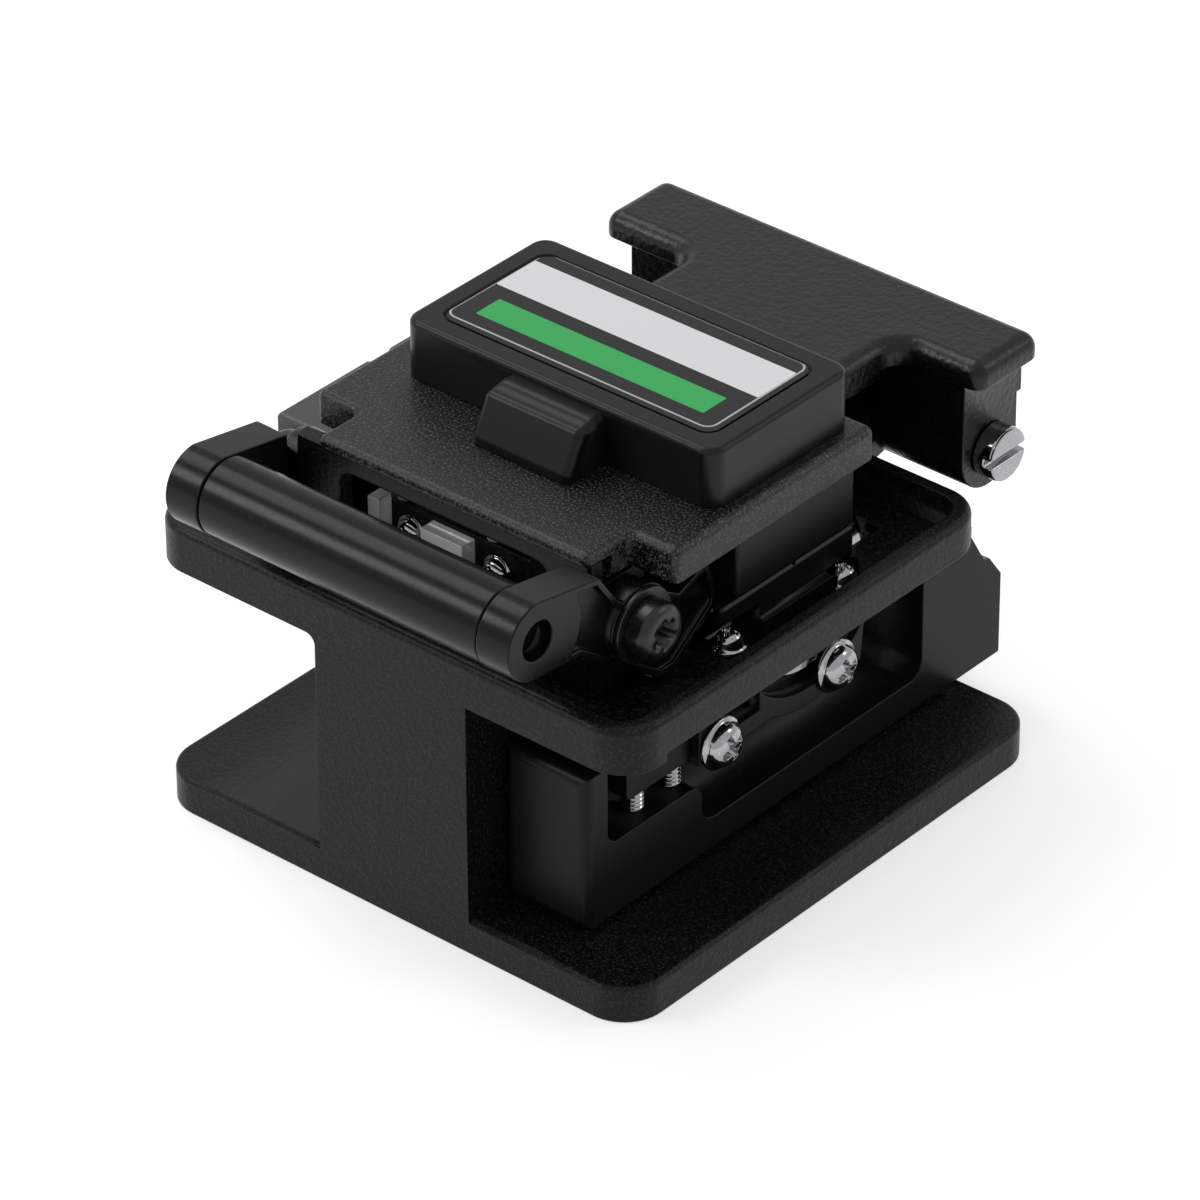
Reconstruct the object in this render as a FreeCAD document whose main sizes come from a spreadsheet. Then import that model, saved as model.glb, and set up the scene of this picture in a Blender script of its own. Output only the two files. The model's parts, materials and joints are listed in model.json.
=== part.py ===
import FreeCAD, Part
import math
import os
import re

import Sketcher

# A bench cleaver for optical fibre: a cast body whose tray carries the clamps,
# a blade carriage that slides under the tray, a hinged lid and a front bail.
#
# Lengths are millimetres, angles degrees.  +X is right, +Y is the hinge side, +Z is up.
# The origin is at the middle of the whole tool's footprint, on the face it stands on.

SIZES = [
    # cast body
    ("base_width", 67.0),
    ("base_depth", 68.8),
    ("base_thick", 4.4),
    ("corner_round", 5.0),
    ("cast_edge", 0.6),
    ("column_x", 0.9),
    ("column_width", 21.0),
    ("tray_depth", 59.0),
    ("tray_bottom_drop", 7.4),
    ("tray_floor_drop", 5.9),
    ("tray_top_drop", 1.9),
    ("rim_width", 2.0),
    ("rim_edge", 0.9),
    ("wall_lift", 1.0),
    ("wall_lift_start", 6.0),
    ("root_fillet", 1.2),
    # blade opening in the tray
    ("hub_slot_left", 13.0),
    ("hub_slot_front", 20.0),
    ("hub_slot_length", 28.0),
    ("disc_slot_spare", 0.8),
    ("disc_slot_width", 3.0),
    # rear hinge
    ("axle_setback", 7.8),
    ("axle_drop", 1.2),
    ("axle_radius", 2.0),
    ("running_gap", 0.05),
    ("fit_gap", 0.02),
    ("lug_radius", 4.2),
    ("hinge_radius", 4.7),
    ("hinge_width", 12.4),
    ("side_gap", 0.3),
    ("head_radius", 3.1),
    ("head_height", 2.6),
    ("head_slot_width", 0.9),
    ("head_slot_depth", 1.1),
    ("nut_radius", 3.2),
    ("nut_height", 2.4),
    # rear lever
    ("lever_x", 4.1),
    ("lever_width", 46.2),
    ("lever_setback", 5.4),
    ("slab_x", 3.5),
    ("slab_width", 52.2),
    ("slab_front", 0.5),
    ("slab_corner", 1.6),
    ("lever_bar_under_rise", 3.5),
    ("lip_height", 3.0),
    ("neck_x", 4.5),
    ("neck_width", 28.3),
    ("neck_fillet", 3.0),
    ("tongue_width", 19.0),
    ("tongue_length", 15.0),
    ("tongue_thick", 2.4),
    ("tongue_shift", 3.0),
    ("lever_edge", 1.8),
    # lid plate
    ("lid_top_rise", 11.7),
    ("lid_thick", 4.0),
    ("lid_x", 3.4),
    ("lid_front", 7.2),
    ("nose_thick", 1.3),
    ("nose_reach", 3.0),
    ("lid_nose_width", 37.0),
    ("wing_front", 13.8),
    ("wing_width", 49.3),
    ("neck_length", 20.8),
    ("lid_corner", 0.9),
    ("lid_edge", 1.0),
    # label cover
    ("cover_x", 4.9),
    ("cover_width", 42.4),
    ("cover_front", 22.0),
    ("cover_depth", 22.6),
    ("cover_height", 7.0),
    ("cover_corner", 2.0),
    ("cover_wall", 1.6),
    ("cover_edge", 0.7),
    ("tab_width", 13.2),
    ("tab_reach", 5.8),
    ("tab_nose_height", 1.0),
    ("tab_shoulder_reach", 3.6),
    ("tab_shoulder_height", 5.4),
    ("tab_top_height", 6.2),
    ("tab_edge", 0.9),
    ("inlay_inset", 2.5),
    ("inlay_depth", 0.4),
    ("plate_gap", 0.35),
    ("plate_corner", 1.6),
    # clamp stack
    ("fibre_height", 38.3),
    ("fibre_y", 34.5),
    ("clamp_front", 25.0),
    ("clamp_rear", 44.4),
    ("clamp_gap", 0.4),
    ("lower_front", 22.6),
    ("lower_step", 28.0),
    ("slab_thick", 2.0),
    ("clamp_right", 26.8),
    ("clamp_left", -15.8),
    ("blade_slot_width", 2.6),
    ("foot_step", 2.2),
    ("foot_reach", 1.2),
    ("pad_width", 2.6),
    ("pad_inset", 1.0),
    ("pad_inset_right", 0.4),
    ("pad_length", 7.0),
    ("pad_sink", 1.2),
    ("vee_depth", 0.35),
    ("magnet_radius", 3.0),
    ("magnet_height", 2.5),
    ("magnet_x", -10.5),
    ("anvil_length", 5.0),
    ("anvil_width", 2.0),
    ("anvil_height", 4.6),
    ("anvil_lift", 0.9),
    # fibre holder seat
    ("seat_gap", 0.1),
    ("seat_side_gap", 0.8),
    ("seat_front", 18.4),
    ("seat_depth", 30.1),
    ("seat_top_rise", 2.7),
    ("seat_channel", 3.2),
    # front bracket
    ("bracket_front", 7.8),
    ("bracket_wall", 2.0),
    ("bracket_gap", 0.2),
    ("cheek_top_rise", 7.2),
    ("bracket_rear", 16.2),
    ("cheek_thick", 2.6),
    ("window_left", -12.6),
    ("window_right", 16.0),
    ("window_low_drop", 0.7),
    ("window_high_rise", 7.9),
    ("window_round", 2.0),
    # bail
    ("bail_x", 1.5),
    ("bail_width", 47.0),
    ("hub_y", -4.0),
    ("hub_rise", 8.7),
    ("hub_radius", 4.5),
    ("hub_width", 4.4),
    ("hub_bore", 2.2),
    ("arm_width", 2.3),
    ("pivot_y", 11.8),
    ("pivot_rise", 2.9),
    ("boss_radius", 4.5),
    ("boss_start", 25.0),
    ("boss_end", 125.0),
    ("knee_reach", 6.4),
    ("knee_drop", 5.1),
    ("heel_y", 3.0),
    ("toe_y", 5.6),
    ("heel_drop", 8.2),
    ("tail_y", 12.1),
    ("tail_drop", 3.6),
    ("peak_y", 10.6),
    ("peak_rise", 2.3),
    ("valley_y", 6.2),
    ("valley_rise", 0.6),
    ("notch_y", 3.6),
    ("notch_rise", 4.7),
    ("step_y", 6.3),
    ("step_rise", 8.6),
    ("arm_rim", 0.8),
    ("arm_recess", 0.9),
    ("beam_root", 6.7),
    ("pivot_radius", 1.5),
    ("cheek_reach", 3.2),
    ("torx_radius", 3.3),
    ("torx_height", 2.8),
    ("washer_radius", 4.3),
    ("washer_thick", 0.6),
    ("bar_radius", 4.4),
    ("bar_gap", 0.15),
    # carriage
    ("carriage_left", 11.7),
    ("carriage_right", 23.0),
    ("carriage_front", 5.5),
    ("carriage_overhang", 16.2),
    ("carriage_lift", 0.6),
    ("carriage_top_drop", 14.3),
    ("carriage_wall", 3.0),
    ("carriage_round", 1.3),
    ("tail_shoulder_drop", 20.8),
    ("tail_slope_reach", 3.1),
    ("tail_slope_rise", 1.0),
    ("tail_top_reach", 5.5),
    ("tail_top_rise", 5.1),
    ("window_front", 9.0),
    ("window_step", 24.2),
    ("step_drop", 24.1),
    ("window_floor_drop", 29.4),
    ("window_rear", 61.3),
    ("window_corner", 2.0),
    ("sill_corner", 1.6),
    ("travel", 16.0),
    # rail and slide block
    ("rail_width", 7.0),
    ("rail_height", 4.6),
    ("rail_front", 7.0),
    ("rail_length", 50.0),
    ("rail_level_drop", 23.8),
    ("block_width", 17.0),
    ("block_length", 23.4),
    ("block_height", 8.0),
    ("block_gap", 0.25),
    ("stop_radius", 1.25),
    # blade arm, holder and disc
    ("arm_front", 13.2),
    ("arm_rear", 54.0),
    ("arm_low_drop", 21.3),
    ("arm_high_drop", 8.1),
    ("bulk_high_drop", 11.3),
    ("arm_thick", 5.3),
    ("bulk_thick", 7.2),
    ("arm_pin_y", 27.5),
    ("arm_pin_drop", 16.8),
    ("arm_pin_radius", 1.5),
    ("holder_front", 23.6),
    ("holder_rear", 52.2),
    ("holder_low_drop", 21.9),
    ("holder_high_drop", 7.9),
    ("holder_thick", 3.0),
    ("holder_slant", 1.6),
    ("disc_y", 42.0),
    ("disc_drop", 9.5),
    ("disc_radius", 10.0),
    ("disc_thick", 0.8),
    ("disc_bevel", 0.25),
    ("cup_gap", 1.6),
    ("cup_lip", 2.2),
    ("notch_width", 3.0),
    ("notch_low_drop", 19.8),
    ("cup_depth", 1.8),
    ("disc_bore", 2.0),
    ("disc_cap_radius", 2.8),
    ("disc_cap_height", 0.7),
    ("holder_screw_inset", 3.2),
    ("holder_screw_rear_inset", 6.2),
    ("holder_screw_drop", 20.3),
    # fasteners
    ("pan_radius", 3.1),
    ("pan_height", 2.1),
    ("pan_shank_radius", 1.2),
    ("pan_shank_length", 5.0),
    ("small_pan_radius", 1.9),
    ("small_pan_height", 1.3),
    ("small_shank_radius", 1.0),
    ("small_shank_length", 5.6),
    ("deck_shank_length", 1.4),
    ("deck_pan_height", 2.2),
    ("deck_share", 0.2),
    ("deck_screw_y", 24.4),
    ("deck_rear_share", 0.385),
    ("deck_screw_rear_y", 41.6),
    ("screw_spare", 0.2),
    ("lid_screw_pitch", 12.0),
    ("lid_screw_y", 38.0),
    ("block_screw_pitch", 16.0),
    ("block_screw_drop", 19.1),
    ("rail_screw_pitch", 16.0),
    ("stop_rise", 3.0),
    ("star_radius", 1.9),
    ("star_waist", 1.25),
    ("star_depth", 1.3),
    ("rail_foot_gap", 0.6),
    ("cross_width", 0.9),
    ("cross_reach", 0.62),
    ("cross_depth", 0.55),
    ("set_screw_radius", 1.25),
    ("set_screw_length", 11.0),
    ("set_screw_x", 20.2),
    ("set_screw_y", 16.1),
    ("set_screw_pitch", 6.0),
    ("bar_screw_radius", 1.4),
    ("bar_screw_length", 9.0),
    # polished parts behind the bracket window
    ("bridge_left", -12.8),
    ("bridge_width", 21.0),
    ("bridge_front", 14.2),
    ("bridge_thick", 2.0),
    ("bridge_top_rise", 2.3),
    ("bridge_block_left", -5.4),
    ("bridge_block_width", 5.8),
    ("bridge_block_reach", 2.0),
    ("bridge_block_drop", 1.0),
    ("bridge_flange_width", 1.6),
    ("bridge_pin_left", -10.0),
    ("bridge_pin_right", 2.4),
    ("bridge_pin_radius", 0.9),
    ("bridge_screw_left", -8.3),
    ("bridge_screw_right", 3.7),
    ("bridge_screw_drop", 0.7),
    # springs
    ("spring_wire", 0.35),
    ("spring_coil", 2.2),
]


# ---------------------------------------------------------------- the document and its sheet

doc = FreeCAD.newDocument("FibreCleaver")
sheet = doc.addObject("Spreadsheet::Sheet", "Sizes")
for row, (name, value) in enumerate(SIZES, start=1):
    sheet.set("A%d" % row, name)
    sheet.set("B%d" % row, str(value))
    sheet.setAlias("B%d" % row, name)
doc.recompute()

NAMES = {name for name, value in SIZES}

# Places that follow from the sizes.  Depths run back from the body's front face.
PLACES = {
    "tray_bottom": "fibre_height - tray_bottom_drop",
    "tray_floor": "fibre_height - tray_floor_drop",
    "tray_top": "fibre_height - tray_top_drop",
    "axle_height": "fibre_height - axle_drop",
    "lever_bar_under": "fibre_height + lever_bar_under_rise",
    "lid_top": "fibre_height + lid_top_rise",
    "seat_top": "fibre_height + seat_top_rise",
    "cheek_top": "fibre_height + cheek_top_rise",
    "window_low": "fibre_height - window_low_drop",
    "window_high": "fibre_height + window_high_rise",
    "hub_height": "fibre_height + hub_rise",
    "pivot_height": "fibre_height + pivot_rise",
    "carriage_top": "fibre_height - carriage_top_drop",
    "tail_shoulder": "fibre_height - tail_shoulder_drop",
    "step_height": "fibre_height - step_drop",
    "window_floor": "fibre_height - window_floor_drop",
    "rail_level": "fibre_height - rail_level_drop",
    "arm_low": "fibre_height - arm_low_drop",
    "arm_high": "fibre_height - arm_high_drop",
    "bulk_high": "fibre_height - bulk_high_drop",
    "arm_pin_height": "fibre_height - arm_pin_drop",
    "holder_low": "fibre_height - holder_low_drop",
    "holder_high": "fibre_height - holder_high_drop",
    "disc_height": "fibre_height - disc_drop",
    "notch_low": "fibre_height - notch_low_drop",
    "holder_screw_height": "fibre_height - holder_screw_drop",
    "block_screw_height": "fibre_height - block_screw_drop",
    "bridge_top": "fibre_height + bridge_top_rise",
    "bridge_screw_height": "fibre_height - bridge_screw_drop",
    "front": "0 - (tray_depth + carriage_overhang + hub_y - hub_radius) / 2",
    "half_width": "base_width / 2",
    "column_right": "column_x + column_width / 2",
    "axle_at": "front + tray_depth + axle_setback",
    "lever_left": "lever_x - lever_width / 2",
    "lever_right": "lever_x + lever_width / 2",
    "lug_left": "lever_left + hinge_width + side_gap",
    "lug_width": "lever_width - 2 * hinge_width - 2 * side_gap",
    "lid_low": "lid_top - lid_thick",
    "lid_rear": "axle_at - neck_length",
    "nose_low": "lid_top - nose_thick",
    "bracket_top": "nose_low - bracket_gap",
    "beam_end": "pivot_at - step_y",
    "disc_x": "carriage_right - cup_depth + disc_thick",
    "blade_slot_left": "disc_x - blade_slot_width / 2",
    "blade_slot_right": "disc_x + blade_slot_width / 2",
    "clamp_low_top": "fibre_height - clamp_gap / 2",
    "clamp_high_low": "fibre_height + clamp_gap / 2",
    "pivot_at": "front + pivot_y",
    "hub_at": "front + hub_y",
    "bail_right": "bail_x + bail_width / 2",
    "bail_left": "bail_x - bail_width / 2",
    "deck_strip": "half_width - rim_width - bail_right",
    "cheek_right": "bail_right - arm_width - washer_thick - side_gap",
    "cheek_left": "bail_left + arm_width + washer_thick + side_gap",
    "carriage_low": "base_thick + carriage_lift",
    "carriage_start": "front + carriage_front",
    "carriage_end": "front + tray_depth + carriage_overhang",
    "carriage_width": "carriage_right - carriage_left",
    "rail_seat": "carriage_left - block_height",
    "disc_at": "front + disc_y",
    "stop_x": "(carriage_left + carriage_right) / 2",
    "stop_y": "carriage_end - 3 * travel / 2",
    "arm_left": "carriage_left + carriage_wall",
    "arm_face": "arm_left + arm_thick",
    "holder_left": "carriage_right - holder_thick",
    "screw_y_1": "front + holder_front + holder_screw_inset",
    "screw_y_2": "front + holder_rear - holder_screw_rear_inset",
    "block_y": "(carriage_start + carriage_end) / 2",
    "seat_left": "rim_width + seat_gap - half_width",
    "seat_right": "bail_left - seat_side_gap",
    "cover_left": "cover_x - cover_width / 2",
    "cover_right": "cover_x + cover_width / 2",
    "cup_outer": "disc_radius + cup_gap + cup_lip",
    "lip_half": "sqrt(cup_outer ^ 2 - (disc_height - holder_low) ^ 2)",
    "tongue_x": "neck_x - tongue_shift",
    "disc_face": "disc_x + disc_thick / 2",
}


# ---------------------------------------------------------------- drawing helpers


def formula(text):
    """Spell a short formula out for FreeCAD: places are expanded, sizes become sheet cells."""
    def spell(match):
        word = match.group(0)
        if word in PLACES:
            return "(" + formula(PLACES[word]) + ")"
        if word in NAMES:
            return "Sizes." + word
        return word
    return re.sub(r"[a-z][a-z_0-9]*", spell, str(text))


def amount(text):
    """The present value of a formula."""
    return float(sheet.evalExpression(formula(text)))


def bind(thing, prop, text):
    thing.setExpression(prop, formula(text))


def new_body(name):
    body = doc.addObject("PartDesign::Body", name)
    body.Label = name
    return body


# Sketch planes: which world axis the plane is square to, and whether its normal follows it.
PLANES = {"XY": ("XY_Plane", 1), "XZ": ("XZ_Plane", -1), "YZ": ("YZ_Plane", 1)}


def new_sketch(body, plane, level):
    """A sketch on one of the body's origin planes, moved to a level along the world axis."""
    role, side = PLANES[plane]
    sketch = body.newObject("Sketcher::SketchObject", body.Name + "_sketch")
    support = [item for item in body.Origin.OriginFeatures if item.Role == role][0]
    sketch.AttachmentSupport = [(support, "")]
    sketch.MapMode = "FlatFace"
    bind(sketch, ".AttachmentOffset.Base.z", level if side > 0 else "0 - (%s)" % level)
    sketch.addProperty("App::PropertyInteger", "Side")
    sketch.Side = side
    return sketch


def pin_point(sketch, geometry, end, across, along):
    """Fix one end of a line or arc, or a centre, at a place given by two formulas."""
    for kind, text in (("DistanceX", across), ("DistanceY", along)):
        rule = Sketcher.Constraint(kind, -1, 1, geometry, end, amount(text))
        index = sketch.addConstraint(rule)
        sketch.setExpression("Constraints[%d]" % index, formula(text))


def arc_between(start, finish, radius):
    """The shorter arc; a positive radius turns left on the way, a negative one turns right."""
    chord = finish - start
    middle = (start + finish) * 0.5
    size = abs(radius)
    rise = size - math.sqrt(max(size * size - chord.Length ** 2 / 4, 0.0))
    outward = FreeCAD.Vector(chord.y, -chord.x, 0)
    outward.normalize()
    side = 1 if radius > 0 else -1
    return Part.Arc(start, middle + outward * rise * side, finish)


def draw_outline(sketch, corners):
    """Close an outline through its corners.

    Each corner is (across, along).  Two more items, a radius and 1 or -1, make the side that
    arrives there an arc: 1 turns left on the way round, -1 turns right.
    """
    points = [FreeCAD.Vector(amount(item[0]), amount(item[1]), 0) for item in corners]
    ends = []
    for index, corner in enumerate(corners):
        start = points[index - 1]
        finish = points[index]
        if len(corner) > 2:
            curve = arc_between(start, finish, corner[3] * amount(corner[2]))
        else:
            curve = Part.LineSegment(start, finish)
        number = sketch.addGeometry(curve)
        last = 2
        if sketch.getPoint(number, 2).distanceToPoint(finish) > 1e-6:
            last = 1
        ends.append((number, last))
    for index, corner in enumerate(corners):
        number, last = ends[index]
        follower, follower_last = ends[(index + 1) % len(ends)]
        rule = Sketcher.Constraint("Coincident", number, last, follower, 3 - follower_last)
        sketch.addConstraint(rule)
        pin_point(sketch, number, last, corner[0], corner[1])
        if len(corner) > 2:
            rule = Sketcher.Constraint("Radius", number, amount(corner[2]))
            place = sketch.addConstraint(rule)
            sketch.setExpression("Constraints[%d]" % place, formula(corner[2]))


def draw_box(sketch, left, right, low, high, corner=None):
    """A rectangle, with round corners where a corner radius is given."""
    if corner is None:
        draw_outline(sketch, [(left, low), (right, low), (right, high), (left, high)])
        return
    low_in = "%s + (%s)" % (low, corner)
    high_in = "%s - (%s)" % (high, corner)
    left_in = "%s + (%s)" % (left, corner)
    right_in = "%s - (%s)" % (right, corner)
    draw_outline(sketch, [
        (left_in, low, corner, 1), (right_in, low), (right, low_in, corner, 1), (right, high_in),
        (right_in, high, corner, 1), (left_in, high), (left, high_in, corner, 1), (left, low_in)])


def draw_circle(sketch, across, along, radius):
    centre = FreeCAD.Vector(amount(across), amount(along), 0)
    number = sketch.addGeometry(Part.Circle(centre, FreeCAD.Vector(0, 0, 1), amount(radius)))
    pin_point(sketch, number, 3, across, along)
    place = sketch.addConstraint(Sketcher.Constraint("Radius", number, amount(radius)))
    sketch.setExpression("Constraints[%d]" % place, formula(radius))


def pad(body, sketch, length, way=1):
    """Raise the sketch by a length, along its world axis or against it."""
    feature = body.newObject("PartDesign::Pad", body.Name + "_pad")
    feature.Profile = sketch
    bind(feature, "Length", length)
    feature.Reversed = way * sketch.Side < 0
    sketch.Visibility = False
    doc.recompute()
    return feature


def pocket(body, sketch, length, way):
    """Sink the sketch by a length, along its world axis or against it."""
    before = body.Shape.Volume
    feature = body.newObject("PartDesign::Pocket", body.Name + "_pocket")
    feature.Profile = sketch
    bind(feature, "Length", length)
    feature.Reversed = way * sketch.Side > 0
    sketch.Visibility = False
    doc.recompute()
    if not body.Shape.Volume < before - 1e-6:
        raise RuntimeError("a pocket of %s cuts nothing" % body.Label)
    return feature


def edges_of(body, chosen):
    """Names of the body's edges that a test picks by their middle and their direction."""
    names = []
    for number, edge in enumerate(body.Shape.Edges, start=1):
        if edge.Length < 1e-4 or edge.isClosed():
            middle = edge.CenterOfMass
        else:
            middle = edge.valueAt((edge.FirstParameter + edge.LastParameter) / 2)
        ends = [vertex.Point for vertex in edge.Vertexes]
        run = ends[-1] - ends[0]
        if chosen(middle, run, edge):
            names.append("Edge%d" % number)
    return names


def soften(body, radius, chosen, kind="Fillet"):
    """Round or bevel the chosen edges."""
    names = edges_of(body, chosen)
    if not names:
        raise RuntimeError("no edge to soften on " + body.Label)
    feature = body.newObject("PartDesign::" + kind, body.Name + "_" + kind.lower())
    feature.Base = (body.Tip, names) if body.Tip != feature else (feature.BaseFeature, names)
    bind(feature, "Radius" if kind == "Fillet" else "Size", radius)
    doc.recompute()
    return feature


def near(value, text):
    return abs(value - amount(text)) < 0.01


def upright(run):
    return abs(run.x) < 1e-4 and abs(run.y) < 1e-4 and abs(run.z) > 1e-4


def primitive(kind, name, sizes, place=("0", "0", "0"), turn=None):
    """A Part solid with its sizes and its place bound to the sheet."""
    solid = doc.addObject("Part::" + kind, name)
    if turn is not None:
        solid.Placement = FreeCAD.Placement(FreeCAD.Vector(), turn)
    for prop, text in sizes.items():
        bind(solid, prop, text)
    for axis, text in zip("xyz", place):
        bind(solid, "Placement.Base." + axis, text)
    return solid


def join(kind, name, items):
    """Cut the second item from the first, or fuse or compound them all."""
    result = doc.addObject("Part::" + kind, name)
    if kind == "Cut":
        result.Base, result.Tool = items
    elif kind == "MultiFuse":
        result.Shapes = items
    else:
        result.Links = items
    result.Label = name
    doc.recompute()
    return result


def copies(name, source, places, turn=None):
    """One node that holds a separate copy of the source at each place."""
    links = []
    for number, place in enumerate(places, start=1):
        link = doc.addObject("App::Link", "%s_%d" % (name, number))
        link.LinkedObject = source
        rotation = turn if turn is not None else FreeCAD.Rotation()
        link.Placement = FreeCAD.Placement(FreeCAD.Vector(), rotation)
        for axis, text in zip("xyz", place):
            bind(link, "Placement.Base." + axis, text)
        links.append(link)
    return join("Compound", name, links)


FACE_RIGHT = FreeCAD.Rotation(FreeCAD.Vector(0, 1, 0), 90)
FACE_LEFT = FreeCAD.Rotation(FreeCAD.Vector(0, 1, 0), -90)
FACE_FRONT = FreeCAD.Rotation(FreeCAD.Vector(1, 0, 0), 90)


# ---------------------------------------------------------------- where the screws go

DECK_PLACES = [("bail_right + deck_share * deck_strip", "front + deck_screw_y"),
               ("bail_right + deck_rear_share * deck_strip", "front + deck_screw_rear_y")]
RAIL_PLACES = [("front + rail_front + rail_length / 2 + %d * rail_screw_pitch" % step, "rail_level")
               for step in (-1, 0, 1)]
LID_PLACES = [("tongue_x - lid_screw_pitch / 2", "front + lid_screw_y"),
              ("tongue_x + lid_screw_pitch / 2", "front + lid_screw_y")]
BLOCK_PLACES = [("block_y - block_screw_pitch / 2", "block_screw_height"),
                ("block_y + block_screw_pitch / 2", "block_screw_height")]
HOLDER_PLACES = [("screw_y_1", "holder_screw_height"), ("screw_y_2", "holder_screw_height")]
BRIDGE_PLACES = [("bridge_screw_left", "bridge_screw_height"),
                 ("bridge_screw_right", "bridge_screw_height")]
SET_PLACES = [("set_screw_x", "front + set_screw_y"),
              ("set_screw_x", "front + set_screw_y + set_screw_pitch")]


def drill(body, plane, level, places, radius, depth, way):
    """Sink a round hole at each place."""
    for across, along in places:
        hole = new_sketch(body, plane, level)
        draw_circle(hole, across, along, radius)
        pocket(body, hole, depth, way)


# ---------------------------------------------------------------- cast body


def make_cast_body():
    """One casting: foot, column and tray, with the hinge lug behind and the rail bed in its side."""
    body = new_body("cast_body")
    foot = new_sketch(body, "XY", "0")
    draw_box(foot, "0 - half_width", "half_width", "front", "front + base_depth", "corner_round")
    pad(body, foot, "base_thick")
    soften(body, "cast_edge", lambda middle, run, edge: near(middle.z, "base_thick"))

    column = new_sketch(body, "XY", "base_thick / 2")
    draw_box(column, "column_x - column_width / 2", "column_right", "front", "front + tray_depth")
    pad(body, column, "tray_bottom - base_thick / 2")

    tray = new_sketch(body, "XY", "tray_bottom")
    draw_box(tray, "0 - half_width", "half_width", "front", "front + tray_depth", "corner_round")
    pad(body, tray, "tray_top - tray_bottom")
    left_root = "column_x - column_width / 2"
    soften(body, "root_fillet", lambda middle, run, edge: near(middle.x, left_root)
           and near(middle.z, "tray_bottom") and abs(run.y) > amount("tray_depth / 2"))

    inside = new_sketch(body, "XY", "tray_top")
    draw_box(inside, "rim_width - half_width", "half_width - rim_width", "front + rim_width",
             "front + tray_depth - rim_width", "corner_round - rim_width")
    pocket(body, inside, "tray_top - tray_floor", -1)
    soften(body, "rim_edge", lambda middle, run, edge: near(middle.z, "tray_top")
           and (near(abs(middle.x), "half_width") or near(middle.y, "front")
                or near(middle.y, "front + tray_depth")
                or (abs(middle.x) > amount("half_width - rim_width")
                    and (middle.y < amount("front + rim_width")
                         or middle.y > amount("front + tray_depth - rim_width")))))

    lift = new_sketch(body, "XY", "tray_bottom - rim_edge")
    draw_box(lift, "half_width - rim_width", "half_width + rim_width", "front + wall_lift_start",
             "front + tray_depth + rim_width")
    pocket(body, lift, "wall_lift + rim_edge", 1)

    bed = new_sketch(body, "YZ", "column_right")
    draw_box(bed, "front + rail_front - block_gap", "front + tray_depth + rim_width",
             "rail_level - block_width / 2 - block_gap", "rail_level + block_width / 2 + block_gap")
    pocket(body, bed, "column_right - rail_seat", -1)

    opening = new_sketch(body, "XY", "tray_top")
    slot_half = "disc_slot_width / 2"
    disc_front = "disc_at - disc_radius - travel - disc_slot_spare"
    disc_rear = "disc_at + disc_radius + disc_slot_spare"
    draw_outline(opening, [
        ("hub_slot_left", "front + hub_slot_front"),
        ("disc_x - %s" % slot_half, "front + hub_slot_front"),
        ("disc_x - %s" % slot_half, disc_front),
        ("disc_x + %s" % slot_half, disc_front),
        ("disc_x + %s" % slot_half, disc_rear),
        ("disc_x - %s" % slot_half, disc_rear),
        ("disc_x - %s" % slot_half, "front + hub_slot_front + hub_slot_length"),
        ("hub_slot_left", "front + hub_slot_front + hub_slot_length")])
    pocket(body, opening, "tray_top - tray_bottom + rim_edge", -1)

    lug = new_sketch(body, "YZ", "lug_left")
    draw_outline(lug, [
        ("front + tray_depth - rim_width / 2", "tray_bottom"),
        ("axle_at", "axle_height - lug_radius"),
        ("axle_at + lug_radius", "axle_height", "lug_radius", 1),
        ("axle_at", "axle_height + lug_radius", "lug_radius", 1),
        ("front + tray_depth - rim_width / 2", "tray_top")])
    pad(body, lug, "lug_width")
    bore = new_sketch(body, "YZ", "lug_left")
    draw_circle(bore, "axle_at", "axle_height", "axle_radius + fit_gap")
    pocket(body, bore, "lug_width", 1)

    drill(body, "XY", "base_thick", [("stop_x", "stop_y")], "stop_radius", "base_thick - 1", -1)
    drill(body, "XY", "tray_floor", DECK_PLACES, "small_shank_radius + fit_gap",
          "tray_floor - tray_bottom", -1)
    drill(body, "YZ", "rail_seat", RAIL_PLACES, "small_shank_radius + fit_gap",
          "small_shank_length", -1)
    return body




# ---------------------------------------------------------------- fasteners


def make_pan_screw(name, radius, height, shank_radius, shank_length, cross=True):
    """A domed screw with a cross recess, standing on the origin with its shank below."""
    body = new_body(name)
    profile = new_sketch(body, "XZ", "0")
    flat = "%s * 0.45" % radius
    draw_outline(profile, [
        ("0", "0 - (%s)" % shank_length), (shank_radius, "0 - (%s)" % shank_length),
        (shank_radius, "0"), (radius, "0"), (radius, "%s * 0.3" % height),
        (flat, height, radius, 1), ("0", height)])
    turned = body.newObject("PartDesign::Revolution", name + "_turned")
    turned.Profile = profile
    turned.ReferenceAxis = (profile, ["V_Axis"])
    turned.Angle = 360
    doc.recompute()
    if not cross:
        return body
    recess = new_sketch(body, "XY", height)
    arm = "%s * cross_reach" % radius
    half = "cross_width / 2"
    draw_outline(recess, [
        (half, half), (half, arm), ("0 - " + half, arm), ("0 - " + half, half),
        ("0 - " + arm, half), ("0 - " + arm, "0 - " + half), ("0 - " + half, "0 - " + half),
        ("0 - " + half, "0 - " + arm), (half, "0 - " + arm), (half, "0 - " + half),
        (arm, "0 - " + half), (arm, half)])
    pocket(body, recess, "%s * cross_depth" % height, -1)
    return body


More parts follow.
